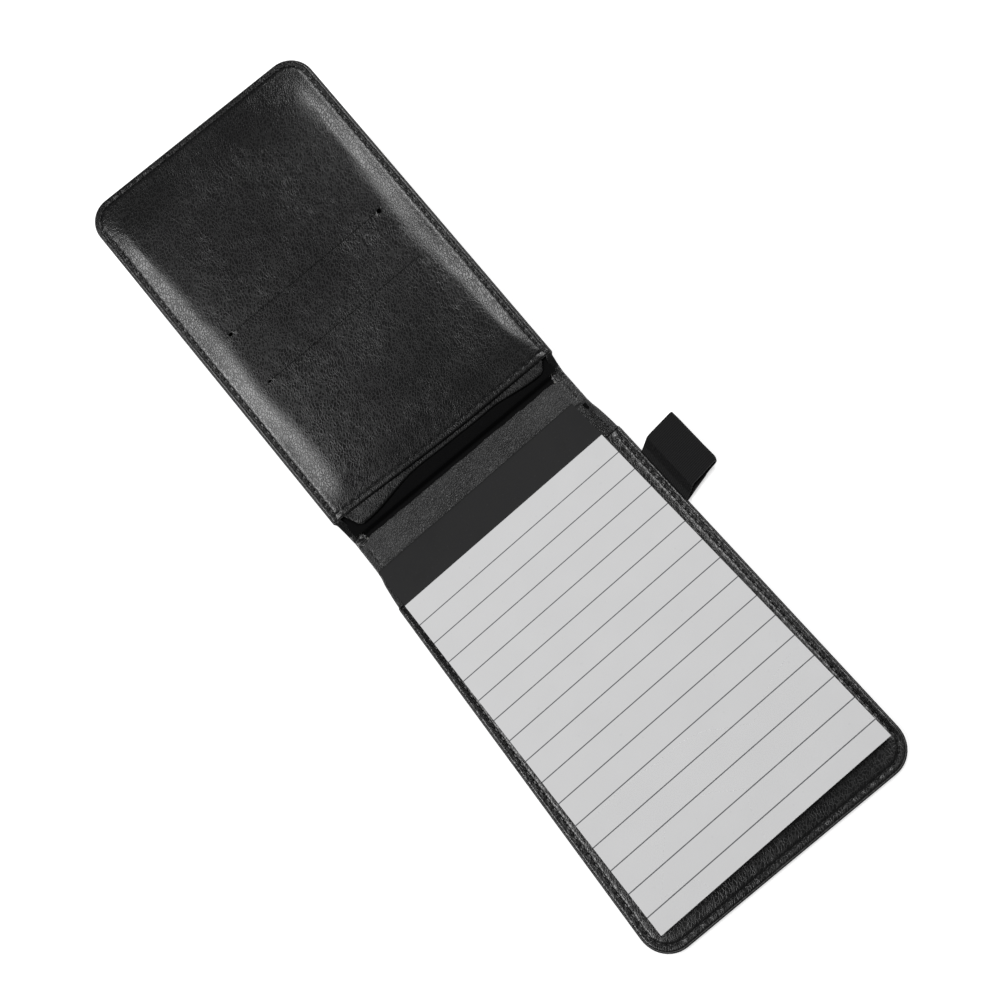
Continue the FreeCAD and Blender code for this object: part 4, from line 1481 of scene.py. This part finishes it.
class NOTEBOOK_OT_memo_pad(bpy.types.Operator):
    """Build the pad: its sheets, the glue line, the ruled top page and the binding tape"""

    bl_idname = "notebook.memo_pad"
    bl_label = "Memo pad"

    head_round = 0.6 * MM
    stack = 4.5 * MM
    paper_share = 0.8
    tape_thickness = 0.15 * MM
    tape_start = 0.45 * MM
    glue_thickness = 0.2 * MM
    bend_end = -12 * MM

    def sheet(self, bm, low, high, uv):
        """One thin sheet between two corners, with its place on the page as its UV."""
        made = bmesh.ops.create_cube(bm, size=1.0)
        bmesh.ops.scale(bm, vec=high - low, verts=made["verts"])
        bmesh.ops.translate(bm, vec=(high + low) / 2, verts=made["verts"])
        for face in {face for vert in made["verts"] for face in vert.link_faces}:
            for loop in face.loops:
                loop[uv].uv = loop.vert.co.xy

    def finish(self, name, bm, material, sharp=50.0):
        """Puts a piece of the pad in its place on the cover and finishes it."""
        bmesh.ops.transform(bm, matrix=PAD, verts=bm.verts)
        return finish_piece(name, bm, material, sharp=sharp)

    def execute(self, context):
        pad = context.scene.notebook_pad
        material = ruled_paper()
        half = pad.page_width / 2
        self.build_leaves(pad, material, half)
        self.build_glue(pad, half)
        self.build_page(pad, material, half)
        self.build_tape(pad, half)
        return {"FINISHED"}

    def build_leaves(self, pad, material, half):
        """The sheets under the top page, each a hair out of line, with a round edge at the head."""
        chance = random.Random(7)
        bm = bmesh.new()
        uv = bm.loops.layers.uv.new("sheet")
        side = half - 0.05 * MM
        for index in range(pad.sheet_count):
            low_z = PAD_FLOOR + index * self.stack / pad.sheet_count
            high_z = low_z + pad.sheet_thickness * self.paper_share
            slide = chance.uniform(-0.06, 0.06) * MM
            foot = chance.uniform(0.0, 0.12) * MM
            shrink = round_over(PAGE_CREASE.z + 0.05 * MM - low_z, self.head_round) + 0.25 * MM
            low = Vector((slide - side, foot - pad.page_length, low_z))
            high = Vector((slide + side, pad.head_length - shrink, high_z))
            self.sheet(bm, low, high, uv)
        leaves = self.finish("pad_leaves", bm, material, sharp=30.0)
        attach(leaves, "back_cover")
        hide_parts("pad_sheets")

    def build_glue(self, pad, half):
        """The line of padding glue down the end of the head, up to where it is round."""
        low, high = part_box("pad_glue")
        top = high.z - self.head_round
        bm = flat_sheet(2 * half - 0.4 * MM, low.z, top)
        upright = Matrix.Rotation(math.pi / 2, 3, "X")
        bmesh.ops.rotate(bm, verts=bm.verts, cent=(0, 0, 0), matrix=upright)
        divide(bm, -half, half, 1.5 * MM, 0)
        divide(bm, low.z, top, 0.6 * MM, 2)
        bmesh.ops.solidify(bm, geom=bm.faces[:], thickness=self.glue_thickness)
        for vert in bm.verts:
            ripple = 0.04 * MM * unevenness(vert.co.x, vert.co.z, 2 * MM, 14.0)
            outer = vert.co.y > -self.glue_thickness / 2
            vert.co.y += pad.head_length - 0.06 * MM + ripple * outer
        glue = fibre_material(
            "padding_glue", "rest", pad.glue_colour, fibre=1.2 * MM, depth=0.08 * MM,
            roughness=0.4, contrast=0.08,
        )
        line = self.finish("head_glue", bm, glue)
        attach(line, "back_cover")
        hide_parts("pad_glue")

    def build_page(self, pad, material, half):
        """The top page, finely divided where it bends."""
        bm = bmesh.new()
        uv = bm.loops.layers.uv.new("sheet")
        base = PAGE_CREASE.z - 0.09 * MM
        low = Vector((-half, -pad.page_length, base))
        high = Vector((half, TAPE_EDGE + 0.3 * MM, base + 0.07 * MM))
        self.sheet(bm, low, high, uv)
        bend = steps(self.bend_end, TAPE_EDGE, 0.35 * MM)
        flat = steps(-pad.page_length, self.bend_end, 5 * MM)[1:-1]
        cut_lines(bm, all_geometry(bm), flat + bend, 1)
        divide(bm, -half, half, 6 * MM, 0)
        for vert in bm.verts:
            corner = smooth(70 * MM, pad.page_length, -vert.co.y)
            wave = 0.5 + 0.5 * unevenness(vert.co.x, vert.co.y, 40 * MM, 31.0)
            vert.co.z += corner * 0.14 * MM * wave
        page = self.finish("top_page", bm, material, sharp=30.0)
        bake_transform(page)
        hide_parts("top_sheet")

    def build_tape(self, pad, half):
        """The tape: over the top of the head, round its end and down to the card."""
        tape_low, tape_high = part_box("pad_head_tape")
        start, end = self.tape_start, pad.head_length + 0.1 * MM
        top, foot = tape_high.z - self.tape_thickness, tape_low.z + 0.1 * MM
        bm = flat_sheet(2 * half, start, end, top)
        head = [edge for edge in bm.edges if all(vert.co.y > end - TOLERANCE for vert in edge.verts)]
        down = new_verts(bmesh.ops.extrude_edge_only(bm, edges=head))
        bmesh.ops.translate(bm, vec=(0, 0, foot - top), verts=down)
        fold = [edge for edge in bm.edges if len(edge.link_faces) == 2]
        round_corners(bm, fold, self.head_round, 6)
        divide(bm, -half, half, 2.5 * MM, 0)
        rows = [start + 0.3 * MM, *steps(start + 1.5 * MM, end - 1.5 * MM, 2.5 * MM)]
        cut_lines(bm, all_geometry(bm), rows, 1)
        bmesh.ops.recalc_face_normals(bm, faces=bm.faces)
        if next(face for face in bm.faces if abs(face.normal.z) > 0.9).normal.z < 0:
            bmesh.ops.reverse_faces(bm, faces=bm.faces)
        for vert in bm.verts:
            if vert.co.z > top - 0.1 * MM:
                wave = unevenness(vert.co.x, vert.co.y, 14 * MM, 17.0)
                vert.co.z += 0.05 * MM * (wave - 0.4)
        bmesh.ops.solidify(bm, geom=bm.faces[:], thickness=-self.tape_thickness)
        tape = self.finish("head_tape", bm, tape_material(), sharp=40.0)
        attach(tape, "back_cover")
        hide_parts("pad_head_tape")


class NOTEBOOK_OT_elastic_loop(bpy.types.Operator):
    """Build the elastic pen loop at the right-hand edge"""

    bl_idname = "notebook.elastic_loop"
    bl_label = "Pen loop"

    neck = 1.55 * MM
    lower_edge, lower_bend = 43.2 * MM, 46.0 * MM
    upper_edge, upper_bend = 43.0 * MM, 46.6 * MM
    free_start = 47 * MM
    lean = 1.8 * MM

    def profile(self, loop, low_z, high_z, tip_x, root_x):
        """The corners of the band's line, from its lower root out to the tip and back."""
        seam_z = BACK_CREASE.z + 0.75 * MM
        return (
            (root_x, seam_z), (self.lower_edge, seam_z), (self.lower_bend, low_z), (tip_x, low_z),
            (tip_x, high_z), (self.upper_bend, high_z), (self.upper_edge, seam_z + self.neck),
            (root_x, seam_z + loop.band),
        )

    def band_surface(self, corners, tip_x):
        """The line drawn out to the band's width, with its bends round."""
        width = LOOP_HIGH.y - LOOP_LOW.y
        bm = bmesh.new()
        path = [bm.verts.new((x, LOOP_LOW.y, z)) for x, z in corners]
        lines = [bm.edges.new(pair) for pair in zip(path, path[1:])]
        moved = new_verts(bmesh.ops.extrude_edge_only(bm, edges=lines))
        bmesh.ops.translate(bm, vec=(0, width, 0), verts=moved)
        tips = [
            edge for edge in bm.edges
            if len(edge.link_faces) == 2 and all(vert.co.x > tip_x - TOLERANCE for vert in edge.verts)
        ]
        round_corners(bm, tips, 1.2 * MM, 9)
        bends = [
            edge for edge in bm.edges
            if len(edge.link_faces) == 2 and all(vert.co.x < self.free_start for vert in edge.verts)
            and abs(edge.verts[0].co.y - edge.verts[1].co.y) > width / 2
        ]
        round_corners(bm, bends, 0.9 * MM, 4)
        divide(bm, LOOP_LOW.y, LOOP_HIGH.y, 0.8 * MM, 1)
        cut_lines(bm, all_geometry(bm), steps(self.free_start, tip_x - 1.8 * MM, 1.2 * MM), 0)
        return bm

    def execute(self, context):
        loop = context.scene.notebook_loop
        half_band = loop.band / 2
        low_z = LOOP_LOW.z + loop.slack + half_band
        high_z = LOOP_HIGH.z - loop.slack - half_band
        tip_x = LOOP_HIGH.x + 0.4 * MM
        root_x = LOOP_LOW.x + 0.3 * MM
        bm = self.band_surface(self.profile(loop, low_z, high_z, tip_x, root_x), tip_x)
        uv = bm.loops.layers.uv.new("band")
        for face in bm.faces:
            for corner in face.loops:
                place = corner.vert.co
                above = place.z > (low_z + high_z) / 2
                along = 2 * tip_x - place.x if above else place.x
                corner[uv].uv = (place.y, along)
        bmesh.ops.recalc_face_normals(bm, faces=bm.faces)
        outer = max(bm.faces, key=lambda face: face.calc_center_median().x)
        if outer.normal.x < 0:
            bmesh.ops.reverse_faces(bm, faces=bm.faces)
        for face in bm.faces:
            face.normal_update()
        bmesh.ops.solidify(bm, geom=bm.faces[:], thickness=half_band)
        for vert in bm.verts:
            self.slacken(vert.co, loop, root_x, tip_x, smooth(low_z, high_z, vert.co.z))
        piece = finish_piece("elastic_pen_loop", bm, elastic_material(), sharp=60.0)
        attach(piece, "back_cover")
        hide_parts("pen_loop")
        return {"FINISHED"}

    def slacken(self, place, loop, root_x, tip_x, above):
        """Moves a point as the empty band leans, sags and curls. Above is 1 on the upper run."""
        reach = smooth(root_x, tip_x, place.x)
        along = (place.x - root_x) / (tip_x - root_x)
        place.y += loop.skew * (above - 1) * (1 - reach) + self.lean * (along - 0.5)
        lower_side = round_over(place.y - LOOP_LOW.y, 2.6 * MM)
        place.x -= 0.8 * lower_side * smooth(0.7, 1.0, reach)
        if above > 0.5:
            sag = bell(place.x - 50 * MM, 4 * MM) * 0.18 * MM
            place.z += sag * (1 - 2 * above) * unevenness(0, place.y, 9 * MM, 2.0)
        selvedge = min(abs(place.y - LOOP_LOW.y), abs(place.y - LOOP_HIGH.y))
        place.x += 0.12 * MM * unevenness(place.y, place.z, 6 * MM, 12.0) * reach
        if selvedge < 0.3 * MM:
            place.z += 0.05 * MM * (0.5 - above)


class NOTEBOOK_OT_inner_layers(bpy.types.Operator):
    """Give the boards, linings, card and card bags inside their materials"""

    bl_idname = "notebook.inner_layers"
    bl_label = "Inner layers"

    def execute(self, context):
        board = fibre_material(
            "grey_board", "object", context.scene.notebook_leather.board_colour,
            fibre=0.5 * MM, depth=0.05 * MM, roughness=0.85, contrast=0.2,
        )
        card = fibre_material(
            "pad_card", "object", context.scene.notebook_pad.card_colour,
            fibre=0.4 * MM, depth=0.03 * MM, roughness=0.8, contrast=0.12,
        )
        finishes = {
            board: ("back_board", "front_board", "spine_stiffener"),
            card: ("pad_backing_card",),
            satin_lining("object"): (
                "back_lining", "front_lining", "lower_card_bag", "upper_card_bag",
            ),
        }
        for material, names in finishes.items():
            for name in names:
                node = frame["nodes"][name]
                if not node.material_slots:
                    raise RuntimeError(f"{name} has no material slot")
                for slot in node.material_slots:
                    slot.link = "OBJECT"
                    slot.material = material
        return {"FINISHED"}


class NOTEBOOK_OT_stage(bpy.types.Operator):
    """Set up the pale floor, the soft lights and the camera"""

    bl_idname = "notebook.stage"
    bl_label = "Stage"

    aim = (0.0, 0.09, 0.0)
    softbox_length = 0.5
    softbox_width = 0.24
    floor_half = 4.0

    def softbox(self, name, place, power):
        """A soft rectangular light, long in Y and narrow across the notebook."""
        data = bpy.data.lights.new(name, "AREA")
        data.shape = "RECTANGLE"
        data.size = self.softbox_length
        data.size_y = self.softbox_width
        data.energy = power
        light = bpy.data.objects.new(name, data)
        light.location = place
        facing = Vector(self.aim) - Vector(place)
        light.rotation_euler = facing.to_track_quat("-Z", "Y").to_euler()
        bpy.context.scene.collection.objects.link(light)

    def floor(self, glow):
        """A wide pale floor, lit a little from inside as by a diffuser under it."""
        bm = bmesh.new()
        bmesh.ops.create_grid(bm, x_segments=4, y_segments=4, size=self.floor_half)
        mesh = bpy.data.meshes.new("floor")
        bm.to_mesh(mesh)
        bm.free()
        material = bpy.data.materials.new("pale_floor")
        material.use_nodes = True
        values = {
            "Base Color": (0.93, 0.93, 0.93, 1),
            "Roughness": 0.9,
            "Specular IOR Level": 0.1,
            "Emission Color": (1, 1, 1, 1),
            "Emission Strength": glow,
        }
        shader = material.node_tree.nodes["Principled BSDF"]
        for name, value in values.items():
            shader.inputs[name].default_value = value
        mesh.materials.append(material)
        floor = bpy.data.objects.new("floor", mesh)
        floor.location.z = SKIN_LOW.z
        bpy.context.scene.collection.objects.link(floor)

    def execute(self, context):
        stage = context.scene.notebook_stage
        self.floor(stage.floor_glow)
        self.softbox("left_softbox", (-0.45, 0.12, 0.85), stage.left_power)
        self.softbox("right_softbox", (0.45, 0.22, 0.85), stage.right_power)

        world = bpy.data.worlds.new("studio")
        world.use_nodes = True
        background = world.node_tree.nodes["Background"]
        background.inputs["Color"].default_value = (1, 1, 1, 1)
        background.inputs["Strength"].default_value = stage.sky
        context.scene.world = world

        camera_data = bpy.data.cameras.new("camera")
        camera_data.lens = stage.lens
        camera_data.sensor_width = 36.0
        camera_data.clip_start = 0.01
        camera = bpy.data.objects.new("camera", camera_data)
        camera.location = stage.camera_place
        camera.rotation_euler = Euler(stage.camera_turn, "XYZ")
        context.scene.collection.objects.link(camera)
        context.scene.camera = camera
        context.scene.view_settings.view_transform = "Standard"
        return {"FINISHED"}


class NOTEBOOK_PT_sidebar(bpy.types.Panel):
    """The notebook's settings and pieces"""

    bl_idname = "NOTEBOOK_PT_sidebar"
    bl_label = "Pocket notebook"
    bl_space_type = "VIEW_3D"
    bl_region_type = "UI"
    bl_category = "Notebook"

    def draw(self, context):
        for name, group in SETTINGS.items():
            settings = getattr(context.scene, name)
            box = self.layout.box()
            box.label(text=group.bl_rna.description)
            for key in group.__annotations__:
                box.prop(settings, key)
        for operator in OPERATORS:
            self.layout.operator(operator.bl_idname)


OPERATORS = (
    NOTEBOOK_OT_outer_leather,
    NOTEBOOK_OT_pocket_panels,
    NOTEBOOK_OT_spine_strip,
    NOTEBOOK_OT_crease_lining,
    NOTEBOOK_OT_stitching,
    NOTEBOOK_OT_memo_pad,
    NOTEBOOK_OT_elastic_loop,
    NOTEBOOK_OT_inner_layers,
    NOTEBOOK_OT_stage,
)


def register():
    """Registers the settings, the operators and the panel."""
    for group in SETTINGS.values():
        bpy.utils.register_class(group)
    for name, group in SETTINGS.items():
        setattr(bpy.types.Scene, name, PointerProperty(type=group))
    for operator in OPERATORS:
        bpy.utils.register_class(operator)
    bpy.utils.register_class(NOTEBOOK_PT_sidebar)


def unregister():
    """Removes what register has added."""
    bpy.utils.unregister_class(NOTEBOOK_PT_sidebar)
    for operator in reversed(OPERATORS):
        bpy.utils.unregister_class(operator)
    for name, group in reversed(SETTINGS.items()):
        delattr(bpy.types.Scene, name)
        bpy.utils.unregister_class(group)


def main():
    """Builds the notebook and its stage."""
    register()
    for operator in OPERATORS:
        module, name = operator.bl_idname.split(".")
        result = getattr(getattr(bpy.ops, module), name)()
        if result != {"FINISHED"}:
            raise RuntimeError(f"{operator.bl_label} did not finish")


if __name__ == "__main__":
    main()
